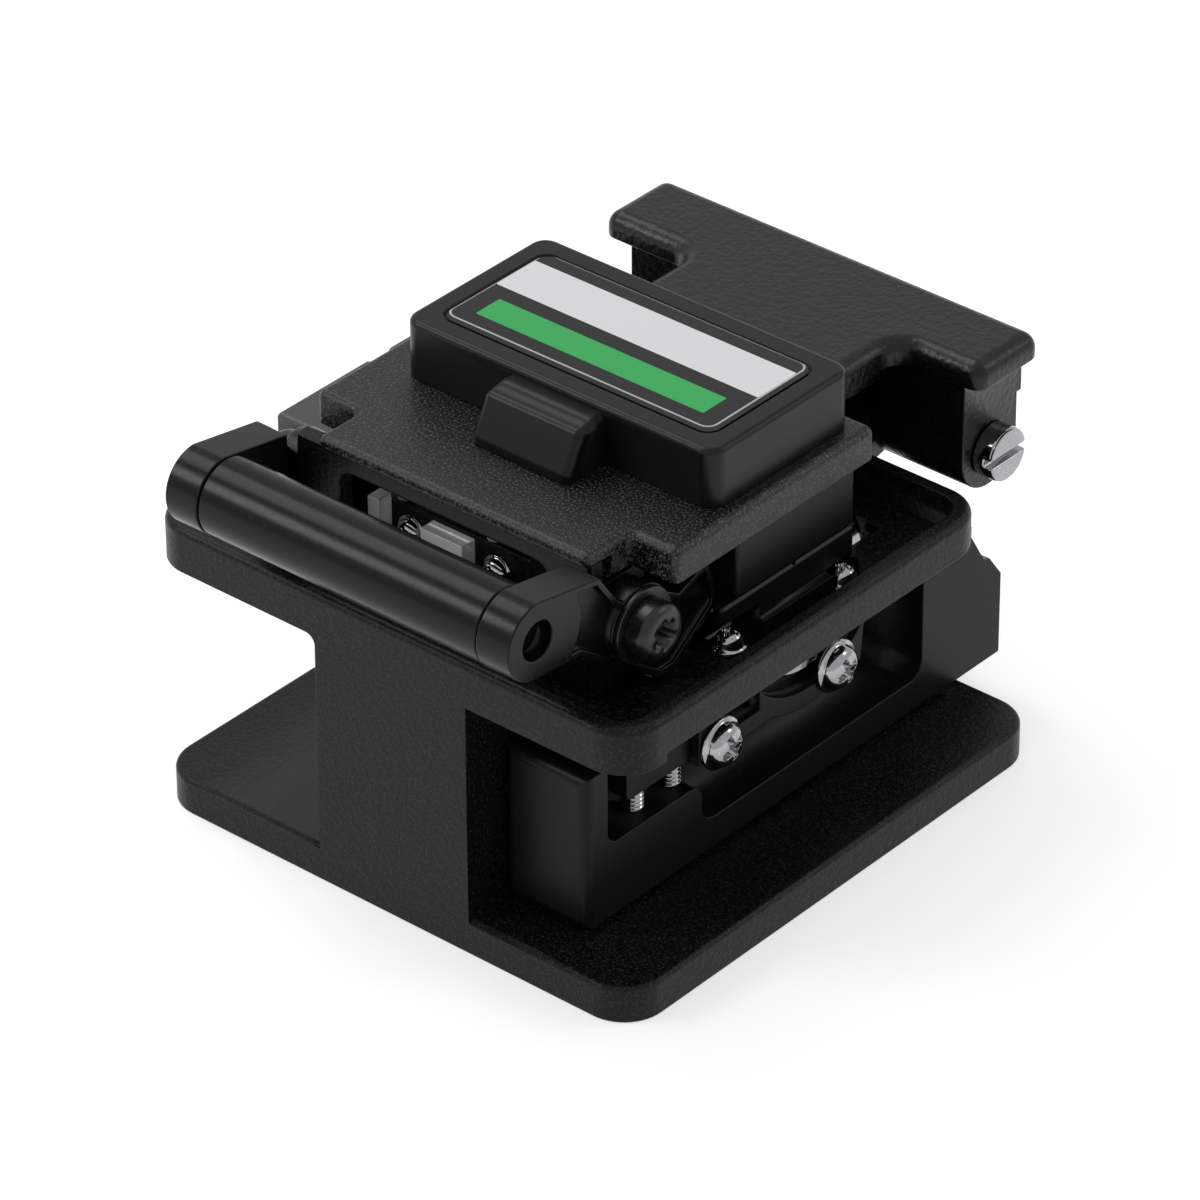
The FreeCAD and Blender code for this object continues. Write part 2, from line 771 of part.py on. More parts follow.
def make_slotted_pin():
    """The hinge axle: a shoulder pin along X with a slotted head at its right end."""
    body = new_body("hinge_axle")
    shaft = new_sketch(body, "YZ", "lever_left - nut_height")
    draw_circle(shaft, "axle_at", "axle_height", "axle_radius")
    pad(body, shaft, "lever_width + nut_height + running_gap")
    head = new_sketch(body, "YZ", "lever_right + running_gap")
    draw_circle(head, "axle_at", "axle_height", "head_radius")
    pad(body, head, "head_height")
    right = "lever_right + running_gap + head_height"
    soften(body, "cast_edge / 2", lambda middle, run, edge: near(middle.x, right), "Chamfer")
    slot = new_sketch(body, "YZ", right)
    draw_box(slot, "axle_at - head_radius", "axle_at + head_radius",
             "axle_height - head_slot_width / 2", "axle_height + head_slot_width / 2")
    pocket(body, slot, "head_slot_depth", -1)
    return body


def make_hinge_nut():
    """The round capstan nut that closes the axle at its left end."""
    body = new_body("hinge_nut")
    ring = new_sketch(body, "YZ", "lever_left - running_gap")
    draw_circle(ring, "axle_at", "axle_height", "nut_radius")
    pad(body, ring, "nut_height", -1)
    left = "lever_left - running_gap - nut_height"
    soften(body, "cast_edge / 2", lambda middle, run, edge: near(middle.x, left), "Chamfer")
    thread = new_sketch(body, "YZ", "lever_left - running_gap")
    draw_circle(thread, "axle_at", "axle_height", "axle_radius")
    pocket(body, thread, "nut_height", -1)
    return body


# ---------------------------------------------------------------- lid


def make_rear_lever():
    """The hinged casting: two hinge blocks under a bar with overhanging ends, and a neck."""
    body = new_body("rear_lever")
    front_face = "axle_at - hinge_radius"
    rear_face = "axle_at + lever_setback"
    for side in ("lever_left", "lever_right - hinge_width"):
        block = new_sketch(body, "YZ", side)
        draw_outline(block, [
            (front_face, "lid_top - lip_height"), (front_face, "axle_height"),
            ("axle_at", "axle_height - hinge_radius", "hinge_radius", 1),
            ("axle_at + hinge_radius", "axle_height", "hinge_radius", 1),
            ("axle_at + hinge_radius", "lid_top - lip_height")])
        pad(body, block, "hinge_width")
        if side == "lever_left":
            bar = new_sketch(body, "YZ", "lever_left")
            draw_box(bar, front_face, rear_face, "lever_bar_under", "lid_top - lip_height / 2")
            pad(body, bar, "lever_width")
    slab = new_sketch(body, "XY", "lid_top")
    slab_left = "slab_x - slab_width / 2"
    slab_right = "slab_x + slab_width / 2"
    neck_left = "neck_x - neck_width / 2"
    neck_right = "neck_x + neck_width / 2"
    lip_front = front_face + " - slab_front"
    draw_outline(slab, [
        (slab_left, lip_front), (neck_left, lip_front), (neck_left, "lid_rear"),
        (neck_right, "lid_rear"), (neck_right, lip_front), (slab_right, lip_front),
        (slab_right, rear_face), (slab_left, rear_face)])
    pad(body, slab, "lip_height", -1)
    neck = new_sketch(body, "XY", "lid_low")
    draw_box(neck, neck_left, neck_right, "lid_rear", "axle_at")
    pad(body, neck, "lid_thick - lip_height / 2")
    soften(body, "slab_corner", lambda middle, run, edge: upright(run)
           and (near(middle.x, slab_left) or near(middle.x, slab_right)))
    soften(body, "neck_fillet", lambda middle, run, edge: upright(run)
           and near(middle.y, lip_front) and abs(middle.x - amount("neck_x")) < amount("neck_width"))
    bore = new_sketch(body, "YZ", "lever_left")
    draw_circle(bore, "axle_at", "axle_height", "axle_radius + running_gap")
    pocket(body, bore, "lever_width", 1)
    soften(body, "lever_edge", lambda middle, run, edge: near(middle.z, "lid_top")
           and middle.y > amount("lid_rear") + 0.5)
    tongue = new_sketch(body, "XY", "lid_low")
    draw_box(tongue, "tongue_x - tongue_width / 2", "tongue_x + tongue_width / 2",
             "lid_rear - tongue_length", "axle_at - hinge_radius / 2")
    pad(body, tongue, "tongue_thick", -1)
    drill(body, "XY", "lid_low", LID_PLACES, "small_shank_radius + fit_gap", "tongue_thick", -1)
    return body


def make_lid_plate():
    """The flat lid: a nose over the bracket and two wings over the arms' tails."""
    body = new_body("lid_plate")
    nose_left = "lid_x - lid_nose_width / 2"
    nose_right = "lid_x + lid_nose_width / 2"
    wing_left = "lid_x - wing_width / 2"
    wing_right = "lid_x + wing_width / 2"
    plan = new_sketch(body, "XY", "lid_top")
    draw_outline(plan, [
        (nose_left, "front + lid_front"), (nose_right, "front + lid_front"),
        (nose_right, "front + wing_front"), (wing_right, "front + wing_front"),
        (wing_right, "lid_rear"), (wing_left, "lid_rear"),
        (wing_left, "front + wing_front"), (nose_left, "front + wing_front")])
    pad(body, plan, "lid_thick", -1)
    rebate = new_sketch(body, "XY", "lid_low")
    draw_box(rebate, wing_left, wing_right, "front", "front + lid_front + nose_reach")
    pocket(body, rebate, "lid_thick - nose_thick", 1)
    soften(body, "lid_corner", lambda middle, run, edge: upright(run))
    soften(body, "lid_edge", lambda middle, run, edge: near(middle.z, "lid_top")
           and middle.y < amount("lid_rear") - 0.05)
    drill(body, "XY", "lid_top", LID_PLACES, "small_shank_radius + fit_gap", "lid_thick", -1)
    return body


def make_label_cover():
    """A moulded cap over the lid's screws, hollow below, with a thumb tab at its front."""
    body = new_body("label_cover")
    top = "lid_top + cover_height"
    front_at = "front + cover_front"
    plan = new_sketch(body, "XY", "lid_top")
    draw_box(plan, "cover_left", "cover_right", front_at, "%s + cover_depth" % front_at,
             "cover_corner")
    pad(body, plan, "cover_height")
    soften(body, "cover_edge", lambda middle, run, edge: near(middle.z, top))
    tab = new_sketch(body, "YZ", "cover_x - tab_width / 2")
    draw_outline(tab, [
        ("%s + cover_wall" % front_at, "lid_top"), ("%s - tab_reach" % front_at, "lid_top"),
        ("%s - tab_reach" % front_at, "lid_top + tab_nose_height"),
        ("%s - tab_shoulder_reach" % front_at, "lid_top + tab_shoulder_height"),
        ("%s + cover_wall" % front_at, "lid_top + tab_top_height")])
    pad(body, tab, "tab_width")
    soften(body, "tab_edge", lambda middle, run, edge: middle.y < amount(front_at) - 0.3
           and middle.z > amount("lid_top") + 0.05)
    hollow = new_sketch(body, "XY", "lid_top")
    draw_box(hollow, "cover_left + cover_wall", "cover_right - cover_wall",
             "%s + cover_wall" % front_at, "%s + cover_depth - cover_wall" % front_at,
             "cover_corner / 2")
    pocket(body, hollow, "cover_height - cover_wall - inlay_depth", 1)
    inlay = new_sketch(body, "XY", top)
    draw_box(inlay, "cover_left + inlay_inset", "cover_right - inlay_inset",
             "%s + inlay_inset" % front_at, "%s + cover_depth - inlay_inset" % front_at,
             "plate_corner + plate_gap")
    pocket(body, inlay, "inlay_depth", -1)
    return body


def make_label_plate():
    """The thin plate that lies in the cover's recess."""
    body = new_body("label_plate")
    inset = "inlay_inset + plate_gap"
    plan = new_sketch(body, "XY", "lid_top + cover_height - inlay_depth")
    draw_box(plan, "cover_left + " + inset, "cover_right - (%s)" % inset,
             "front + cover_front + " + inset,
             "front + cover_front + cover_depth - (%s)" % inset, "plate_corner")
    pad(body, plan, "inlay_depth * 3 / 4")
    return body


def make_upper_clamps():
    """The two blocks under the lid that close on the lower clamps, each with a soft pad."""
    nodes = []
    for side, left, right in (("left", "clamp_left", "blade_slot_left"),
                              ("right", "blade_slot_right", "clamp_right")):
        body = new_body("upper_clamp_" + side)
        plan = new_sketch(body, "XY", "clamp_high_low")
        draw_box(plan, left, right, "front + clamp_front", "front + clamp_rear")
        pad(body, plan, "lid_low - clamp_high_low")
        if side == "left":
            relief = new_sketch(body, "XY", "lid_low")
            draw_box(relief, "clamp_left - 1", "tongue_x + tongue_width / 2 + side_gap",
                     "front + clamp_front - 1", "front + clamp_rear + 1")
            pocket(body, relief, "tongue_thick + side_gap", -1)
        soften(body, "cast_edge", lambda middle, run, edge: upright(run))
        inner = "%s - pad_width - pad_inset" % right if side == "left" else "%s + pad_inset_right" % left
        seat = new_sketch(body, "XY", "clamp_high_low")
        draw_box(seat, inner, inner + " + pad_width", "front + fibre_y - pad_length / 2",
                 "front + fibre_y + pad_length / 2")
        pocket(body, seat, "pad_sink", 1)
        nodes.append(body)
        nodes.append(make_clamp_pad("upper_pad_" + side, inner, "clamp_high_low", 1))
    return nodes


def make_clamp_pad(name, inner, face, way):
    """A small block of hard rubber let into a clamp's face."""
    body = new_body(name)
    level = "%s - %d * clamp_gap / 5" % (face, way)
    plan = new_sketch(body, "XY", level)
    draw_box(plan, inner, inner + " + pad_width", "front + fibre_y - pad_length / 2",
             "front + fibre_y + pad_length / 2")
    pad(body, plan, "pad_sink + clamp_gap / 5", way)
    return body


def make_lower_clamps():
    """The two stepped blocks on the tray; a fine groove along X carries the fibre."""
    nodes = []
    for side, left, right in (("left", "clamp_left", "blade_slot_left"),
                              ("right", "blade_slot_right", "clamp_right")):
        body = new_body("lower_clamp_" + side)
        side_view = new_sketch(body, "YZ", left)
        under = "clamp_low_top - slab_thick"
        draw_outline(side_view, [
            ("front + lower_step", "tray_floor"), ("front + clamp_rear", "tray_floor"),
            ("front + clamp_rear", "clamp_low_top"), ("front + lower_front", "clamp_low_top"),
            ("front + lower_front", under), ("front + lower_step", under)])
        pad(body, side_view, "%s - (%s)" % (right, left))
        if side == "right":
            past_arm = new_sketch(body, "XY", "clamp_low_top")
            draw_box(past_arm, left, "bail_right + side_gap", "front + lower_front",
                     "front + clamp_front")
            pocket(body, past_arm, "slab_thick", -1)
        soften(body, "cast_edge", lambda middle, run, edge: upright(run))
        soften(body, "cast_edge / 2", lambda middle, run, edge: near(middle.z, "clamp_low_top"),
               "Chamfer")
        if side == "right":
            foot = new_sketch(body, "XY", "tray_floor")
            draw_box(foot, "clamp_right - foot_reach", "clamp_right + foot_reach",
                     "front + lower_step", "front + clamp_rear - cast_edge")
            pad(body, foot, "foot_step")
            drill(body, "XY", "tray_floor", DECK_PLACES[1:], "small_pan_radius + screw_spare",
                  "deck_pan_height + screw_spare", 1)
        inner = "%s - pad_width - pad_inset" % right if side == "left" else "%s + pad_inset_right" % left
        seat = new_sketch(body, "XY", "clamp_low_top")
        draw_box(seat, inner, inner + " + pad_width", "front + fibre_y - pad_length / 2",
                 "front + fibre_y + pad_length / 2")
        pocket(body, seat, "pad_sink", -1)
        groove = new_sketch(body, "YZ", left)
        draw_outline(groove, [
            ("front + fibre_y - vee_depth", "clamp_low_top"),
            ("front + fibre_y", "clamp_low_top - vee_depth"),
            ("front + fibre_y + vee_depth", "clamp_low_top")])
        pocket(body, groove, "%s - (%s)" % (right, left), 1)
        if side == "left":
            cup = new_sketch(body, "XY", "clamp_low_top")
            draw_circle(cup, "magnet_x", "front + fibre_y", "magnet_radius")
            pocket(body, cup, "magnet_height", -1)
        nodes.append(body)
        nodes.append(make_clamp_pad("lower_pad_" + side, inner, "clamp_low_top", -1))
    magnet = primitive("Cylinder", "latch_magnet",
                       {"Radius": "magnet_radius", "Height": "magnet_height - vee_depth"},
                       ("magnet_x", "front + fibre_y", "clamp_low_top - magnet_height"))
    nodes.append(magnet)
    return nodes


def make_anvil():
    """The sprung blade-like foot over the cleaving line, with its head inside the lid."""
    body = new_body("anvil")
    foot = new_sketch(body, "XY", "fibre_height + anvil_lift")
    draw_box(foot, "disc_x - anvil_width / 2", "disc_x + anvil_width / 2",
             "front + fibre_y - anvil_length / 2", "front + fibre_y + anvil_length / 2")
    pad(body, foot, "anvil_height")
    soften(body, "anvil_width / 5", lambda middle, run, edge: abs(run.x) < 1e-4
           and near(middle.z, "fibre_height + anvil_lift"), "Chamfer")
    return body


# ---------------------------------------------------------------- front bracket and bail


def make_front_bracket():
    """The folded bracket in front of the clamps: a wall with a long window and two cheeks."""
    body = new_body("front_bracket")
    plan = new_sketch(body, "XY", "tray_floor")
    rear = "front + bracket_rear"
    face = "front + bracket_front"
    draw_outline(plan, [
        ("cheek_left", face), ("cheek_right", face), ("cheek_right", rear),
        ("cheek_right - cheek_thick", rear),
        ("cheek_right - cheek_thick", face + " + bracket_wall"),
        ("cheek_left + cheek_thick", face + " + bracket_wall"),
        ("cheek_left + cheek_thick", rear), ("cheek_left", rear)])
    pad(body, plan, "bracket_top - tray_floor")
    ears = new_sketch(body, "XY", "bracket_top")
    draw_box(ears, "cheek_left", "cheek_right", face + " + bracket_wall", rear)
    pocket(body, ears, "bracket_top - cheek_top", -1)
    window = new_sketch(body, "XZ", face)
    draw_box(window, "window_left", "window_right", "window_low", "window_high", "window_round")
    pocket(body, window, "bracket_wall", 1)
    bores = new_sketch(body, "YZ", "cheek_left")
    draw_circle(bores, "pivot_at", "pivot_height", "pivot_radius")
    pocket(body, bores, "cheek_right - cheek_left", 1)
    soften(body, "cast_edge", lambda middle, run, edge: upright(run)
           and middle.y < amount(face) + 0.05)
    return body


def make_bridge():
    """The polished bar behind the window, with a raised middle block."""
    body = new_body("fibre_stop_bar")
    face = "front + bridge_front"
    bar = new_sketch(body, "XZ", face)
    draw_box(bar, "bridge_left", "bridge_left + bridge_width", "tray_floor", "bridge_top")
    pad(body, bar, "bridge_thick")
    block = new_sketch(body, "XZ", face)
    draw_box(block, "bridge_block_left", "bridge_block_left + bridge_block_width",
             "tray_floor", "bridge_top - bridge_block_drop / 2")
    pad(body, block, "bridge_block_reach", -1)
    flange = new_sketch(body, "XZ", face)
    draw_box(flange, "bridge_left", "bridge_left + bridge_flange_width", "tray_floor",
             "bridge_top + bridge_block_drop / 2")
    pad(body, flange, "bridge_block_reach", -1)
    for across in ("bridge_pin_left", "bridge_pin_right"):
        pin = new_sketch(body, "XY", "tray_floor")
        draw_circle(pin, across, face + " + bridge_thick / 2", "bridge_pin_radius")
        pad(body, pin, "bridge_top + bridge_block_drop - tray_floor")
    drill(body, "XZ", face, BRIDGE_PLACES, "small_shank_radius + fit_gap", "bridge_thick", 1)
    return body


def arm_outline(sketch):
    """The arm's side view, from the hub round the pivot boss to the tail."""
    draw_outline(sketch, [
        ("hub_at", "hub_height + hub_radius"),
        ("hub_at - hub_radius", "hub_height", "hub_radius", 1),
        ("hub_at", "hub_height - hub_radius", "hub_radius", 1),
        ("hub_at + knee_reach", "hub_height - knee_drop"),
        ("pivot_at + heel_y", "pivot_height - heel_drop"),
        ("pivot_at + toe_y", "pivot_height - heel_drop"),
        ("pivot_at + tail_y", "pivot_height - tail_drop"),
        ("pivot_at + tail_y", "pivot_height - tail_drop / 2"),
        ("pivot_at + peak_y", "pivot_height + peak_rise"),
        ("pivot_at + valley_y", "pivot_height + valley_rise"),
        ("pivot_at + boss_radius * cos(boss_start)",
         "pivot_height + boss_radius * sin(boss_start)"),
        ("pivot_at + boss_radius * cos(boss_end)",
         "pivot_height + boss_radius * sin(boss_end)", "boss_radius", 1),
        ("pivot_at - notch_y", "pivot_height + notch_rise"),
        ("pivot_at - step_y", "pivot_height + step_rise")])


def make_arms():
    """Two mirrored side arms: a plate with a raised rim round a recess, a hub and a boss."""
    body = new_body("arm_blank")
    plate = new_sketch(body, "YZ", "bail_right")
    arm_outline(plate)
    pad(body, plate, "hub_width", -1)
    thinner = new_sketch(body, "YZ", "bail_right - hub_width")
    draw_box(thinner, "beam_end", "pivot_at + 2 * tail_y", "pivot_height - 2 * heel_drop",
             "pivot_height + 2 * step_rise")
    pocket(body, thinner, "hub_width - arm_width", 1)
    drill(body, "YZ", "bail_right", [("hub_at", "hub_height")], "hub_bore",
          "hub_width - arm_rim", -1)
    drill(body, "YZ", "bail_right", [("hub_at", "hub_height")], "bar_screw_radius + fit_gap",
          "hub_width", -1)
    drill(body, "YZ", "bail_right", [("pivot_at", "pivot_height")],
          "pivot_radius + running_gap", "arm_width", -1)

    inner = doc.addObject("Part::Offset2D", "arm_recess_outline")
    inner.Source = plate
    bind(inner, "Value", "0 - arm_rim")
    sunk = doc.addObject("Part::Extrusion", "arm_recess_block")
    sunk.Base = inner
    sunk.DirMode = "Custom"
    sunk.Dir = FreeCAD.Vector(-1, 0, 0)
    sunk.Solid = True
    bind(sunk, "LengthFwd", "arm_recess")
    islands = []
    for name, radius, across, along in (("hub_island", "beam_root", "hub_at", "hub_height"),
                                        ("boss_island", "boss_radius", "pivot_at", "pivot_height")):
        islands.append(primitive("Cylinder", name, {"Radius": radius, "Height": "hub_width"},
                                 ("bail_right - hub_width", across, along), FACE_RIGHT))
    island = join("MultiFuse", "recess_islands", islands)
    recess = join("Cut", "arm_recess_tool", (sunk, island))
    right = join("Cut", "right_arm", (body, recess))
    left = doc.addObject("Part::Mirroring", "left_arm")
    left.Source = right
    left.Normal = FreeCAD.Vector(1, 0, 0)
    bind(left, "Base.x", "bail_x")
    doc.recompute()
    return [right, left]


def make_bail_bar():
    """The round rod that joins the two hubs."""
    body = new_body("bail_bar")
    rod = new_sketch(body, "YZ", "bail_left + hub_width + bar_gap")
    draw_circle(rod, "hub_at", "hub_height", "bar_radius")
    pad(body, rod, "bail_width - 2 * hub_width - 2 * bar_gap")
    drill(body, "YZ", "bail_left + hub_width", [("hub_at", "hub_height")],
          "bar_screw_radius + fit_gap", "bar_screw_length - hub_width / 2", 1)
    drill(body, "YZ", "bail_right - hub_width", [("hub_at", "hub_height")],
          "bar_screw_radius + fit_gap", "bar_screw_length - hub_width / 2", -1)
    return body


def make_bail_springs():
    """A small torsion coil on each pivot, between the arm and the bracket's cheek."""
    coils = []
    for number, place in enumerate(("cheek_left - washer_thick / 2 - side_gap / 2",
                                    "cheek_right + washer_thick / 2 + side_gap / 2"), start=1):
        ring = doc.addObject("Part::Torus", "bail_spring_%d" % number)
        bind(ring, "Radius1", "spring_coil")
        bind(ring, "Radius2", "spring_wire")
        ring.Placement = FreeCAD.Placement(FreeCAD.Vector(), FACE_RIGHT)
        for axis, text in zip("xyz", (place, "pivot_at", "pivot_height")):
            bind(ring, "Placement.Base." + axis, text)
        coils.append(ring)
    return join("Compound", "bail_springs", coils)


# ---------------------------------------------------------------- fibre holder seat


def make_holder_seat():
    """The grey block at the tray's left that the fibre holder sits on, with a channel along X."""
    body = new_body("fibre_holder_seat")
    plan = new_sketch(body, "XY", "tray_floor")
    draw_box(plan, "seat_left", "seat_right", "front + seat_front", "front + seat_front + seat_depth")
    pad(body, plan, "seat_top - tray_floor")
    soften(body, "cast_edge * 2", lambda middle, run, edge: upright(run)
           and middle.x > amount("seat_left") + 1)
    channel = new_sketch(body, "YZ", "seat_left")
    draw_box(channel, "front + fibre_y - seat_channel / 2", "front + fibre_y + seat_channel / 2",
             "fibre_height - vee_depth", "seat_top + cast_edge")
    pocket(body, channel, "seat_right - seat_left", 1)
    soften(body, "cast_edge / 2", lambda middle, run, edge: near(middle.z, "seat_top"), "Chamfer")
    return body


# ---------------------------------------------------------------- carriage


def make_carriage():
    """The milled slider: a channel open to the right and above, with a stepped floor."""
    body = new_body("carriage_frame")
    side = new_sketch(body, "YZ", "carriage_left")
    draw_outline(side, [
        ("carriage_start", "carriage_low"), ("carriage_end", "carriage_low"),
        ("carriage_end", "tail_shoulder"),
        ("carriage_end - tail_slope_reach", "tail_shoulder + tail_slope_rise"),
        ("carriage_end - tail_top_reach", "tail_shoulder + tail_top_rise"),
        ("carriage_end - tail_top_reach", "carriage_top"), ("carriage_start", "carriage_top")])
    pad(body, side, "carriage_width")
    soften(body, "carriage_round", lambda middle, run, edge: near(middle.y, "carriage_start"))
    window = new_sketch(body, "YZ", "carriage_right")
    draw_outline(window, [
        ("front + window_front", "step_height + sill_corner"),
        ("front + window_front + sill_corner", "step_height", "sill_corner", 1),
        ("front + window_step - window_corner", "step_height"),
        ("front + window_step", "step_height - window_corner", "window_corner", -1),
        ("front + window_step", "window_floor + window_corner"),
        ("front + window_step + window_corner", "window_floor", "window_corner", 1),
        ("front + window_rear - window_corner", "window_floor"),
        ("front + window_rear", "window_floor + window_corner", "window_corner", 1),
        ("front + window_rear", "carriage_top + cast_edge"),
        ("front + window_front", "carriage_top + cast_edge")])
    pocket(body, window, "carriage_width - carriage_wall", -1)
    slot = new_sketch(body, "XY", "carriage_low")
    draw_box(slot, "stop_x - stop_radius - block_gap", "stop_x + stop_radius + block_gap",
             "stop_y - stop_radius - block_gap", "stop_y + travel + stop_radius + block_gap")
    pocket(body, slot, "stop_rise", 1)
    inside = "carriage_left + carriage_wall"
    drill(body, "YZ", inside, BLOCK_PLACES, "small_pan_radius + screw_spare",
          "small_pan_height + screw_spare", -1)
    drill(body, "YZ", inside, BLOCK_PLACES, "small_shank_radius + fit_gap", "carriage_wall", -1)
    drill(body, "YZ", inside, [("front + arm_pin_y", "arm_pin_height")],
          "arm_pin_radius + fit_gap", "carriage_wall", -1)
    return body


def make_rail():
    """The ground guide rail in the column's side."""
    body = new_body("slide_rail")
    section = new_sketch(body, "XZ", "front + rail_front")
    groove = "rail_width / 8"
    draw_outline(section, [
        ("rail_seat", "rail_level - rail_width / 2"),
        ("rail_seat + rail_height / 2", "rail_level - rail_width / 2"),
        ("rail_seat + rail_height * 0.65", "rail_level - rail_width / 2 + " + groove),
        ("rail_seat + rail_height * 0.8", "rail_level - rail_width / 2"),
        ("rail_seat + rail_height", "rail_level - rail_width / 2"),
        ("rail_seat + rail_height", "rail_level + rail_width / 2"),
        ("rail_seat + rail_height * 0.8", "rail_level + rail_width / 2"),
        ("rail_seat + rail_height * 0.65", "rail_level + rail_width / 2 - " + groove),
        ("rail_seat + rail_height / 2", "rail_level + rail_width / 2"),
        ("rail_seat", "rail_level + rail_width / 2")])
    pad(body, section, "rail_length")
    drill(body, "YZ", "rail_seat + rail_height", RAIL_PLACES, "small_pan_radius + screw_spare",
          "small_pan_height + screw_spare", -1)
    drill(body, "YZ", "rail_seat + rail_height", RAIL_PLACES, "small_shank_radius + fit_gap",
          "rail_height", -1)
    return body


def make_slide_block():
    """The runner that hugs the rail and carries the carriage."""
    body = new_body("slide_block")
    section = new_sketch(body, "XZ", "block_y - block_length / 2")
    inner_low = "rail_level - rail_width / 2 - block_gap"
    inner_high = "rail_level + rail_width / 2 + block_gap"
    foot = "rail_seat + rail_foot_gap"
    draw_outline(section, [
        (foot, "rail_level - block_width / 2"), ("carriage_left", "rail_level - block_width / 2"),
        ("carriage_left", "rail_level + block_width / 2"), (foot, "rail_level + block_width / 2"),
        (foot, inner_high), ("rail_seat + rail_height + block_gap", inner_high),
        ("rail_seat + rail_height + block_gap", inner_low), (foot, inner_low)])
    pad(body, section, "block_length")
    drill(body, "YZ", "carriage_left", BLOCK_PLACES, "small_shank_radius + fit_gap",
          "block_height - rail_foot_gap", -1)
    return body


def make_blade_arm():
    """The rocker on the carriage: thick at the height screws, slimmer beside the disc."""
    body = new_body("blade_arm")
    plate = new_sketch(body, "YZ", "arm_left + fit_gap")
    draw_box(plate, "front + arm_front", "front + arm_rear", "arm_low", "arm_high")
    pad(body, plate, "arm_thick - fit_gap")
    bulk = new_sketch(body, "YZ", "arm_left + fit_gap")
    draw_box(bulk, "front + arm_front", "front + holder_front - side_gap", "arm_low", "bulk_high")
    pad(body, bulk, "bulk_thick")
    soften(body, "cast_edge", lambda middle, run, edge: abs(run.x) > 1
           and (near(middle.y, "front + arm_front") or near(middle.y, "front + arm_rear")))
    drill(body, "XY", "arm_low", SET_PLACES, "set_screw_radius + fit_gap",
          "arm_high - arm_low", 1)
    drill(body, "YZ", "arm_face", HOLDER_PLACES, "pan_shank_radius + fit_gap",
          "pan_shank_length - holder_thick", -1)
    drill(body, "YZ", "arm_face", [("front + arm_pin_y", "arm_pin_height")],
          "arm_pin_radius + fit_gap", "arm_thick", -1)
    drill(body, "YZ", "arm_face", [("disc_at", "disc_height")],
          "small_shank_radius + fit_gap", "arm_thick / 2", -1)
    return body


def make_blade_holder():
    """The cup that shields the disc: a plate with a round lip below and a slanted end."""
    body = new_body("blade_holder")
    plate = new_sketch(body, "YZ", "holder_left")
    draw_outline(plate, [
        ("front + holder_front", "holder_low"), ("disc_at - lip_half", "holder_low"),
        ("disc_at + lip_half", "holder_low", "cup_outer", 1),
        ("front + holder_rear - holder_slant", "holder_low"),
        ("front + holder_rear", "holder_high"), ("front + holder_front", "holder_high")])
    pad(body, plate, "holder_thick")
    drill(body, "YZ", "carriage_right", [("disc_at", "disc_height")], "disc_radius + cup_gap",
          "cup_depth", -1)
    notch = new_sketch(body, "YZ", "carriage_right")
    draw_box(notch, "disc_at - cup_outer - notch_width / 2", "disc_at - disc_radius + cup_gap",
             "notch_low", "holder_high + cast_edge")
    pocket(body, notch, "cup_depth", -1)
    drill(body, "YZ", "carriage_right", HOLDER_PLACES, "pan_shank_radius + fit_gap",
          "holder_thick", -1)
    drill(body, "YZ", "carriage_right - cup_depth", [("disc_at", "disc_height")],
          "small_shank_radius + fit_gap", "holder_thick - cup_depth", -1)
    return body


def make_disc():
    """The round carbide blade: a thin disc ground to a bevel on both sides."""
    body = new_body("blade_disc")
    profile = new_sketch(body, "XY", "disc_height")
    edge = "disc_thick / 2"
    draw_outline(profile, [
        ("disc_x - " + edge, "disc_at + disc_bore + running_gap"),
        ("disc_x + " + edge, "disc_at + disc_bore + running_gap"),
        ("disc_x + " + edge, "disc_at + disc_radius - disc_bevel * 3"),
        ("disc_x", "disc_at + disc_radius"),
        ("disc_x - " + edge, "disc_at + disc_radius - disc_bevel * 3")])
    axis = new_sketch(body, "XY", "disc_height")
    start = FreeCAD.Vector(0, amount("disc_at"), 0)
    finish = FreeCAD.Vector(amount("disc_x"), amount("disc_at"), 0)
    number = axis.addGeometry(Part.LineSegment(start, finish))
    pin_point(axis, number, 1, "0", "disc_at")
    pin_point(axis, number, 2, "disc_x", "disc_at")
    turned = body.newObject("PartDesign::Revolution", "disc_turned")
    turned.Profile = profile
    turned.ReferenceAxis = (axis, ["Edge1"])
    turned.Angle = 360
    doc.recompute()
    return body


def make_disc_screw():
    """The shoulder screw that the disc turns on."""
    places = ("disc_at", "disc_height")
    body = new_body("disc_screw")
    shoulder = new_sketch(body, "YZ", "carriage_right - cup_depth")
    draw_circle(shoulder, places[0], places[1], "disc_bore")
    pad(body, shoulder, "disc_face + running_gap - carriage_right + cup_depth")
    cap = new_sketch(body, "YZ", "disc_face + running_gap")
    draw_circle(cap, places[0], places[1], "disc_cap_radius")
    pad(body, cap, "disc_cap_height")
    shank = new_sketch(body, "YZ", "carriage_right - cup_depth")
    draw_circle(shank, places[0], places[1], "small_shank_radius")
    pad(body, shank, "holder_thick - cup_depth + arm_thick / 2", -1)
    slot = new_sketch(body, "YZ", "disc_face + running_gap + disc_cap_height")
    draw_box(slot, "disc_at - disc_cap_radius", "disc_at + disc_cap_radius",
             "disc_height - cross_width / 3", "disc_height + cross_width / 3")
    pocket(body, slot, "disc_cap_height / 2", -1)
    return body


# ---------------------------------------------------------------- the whole tool


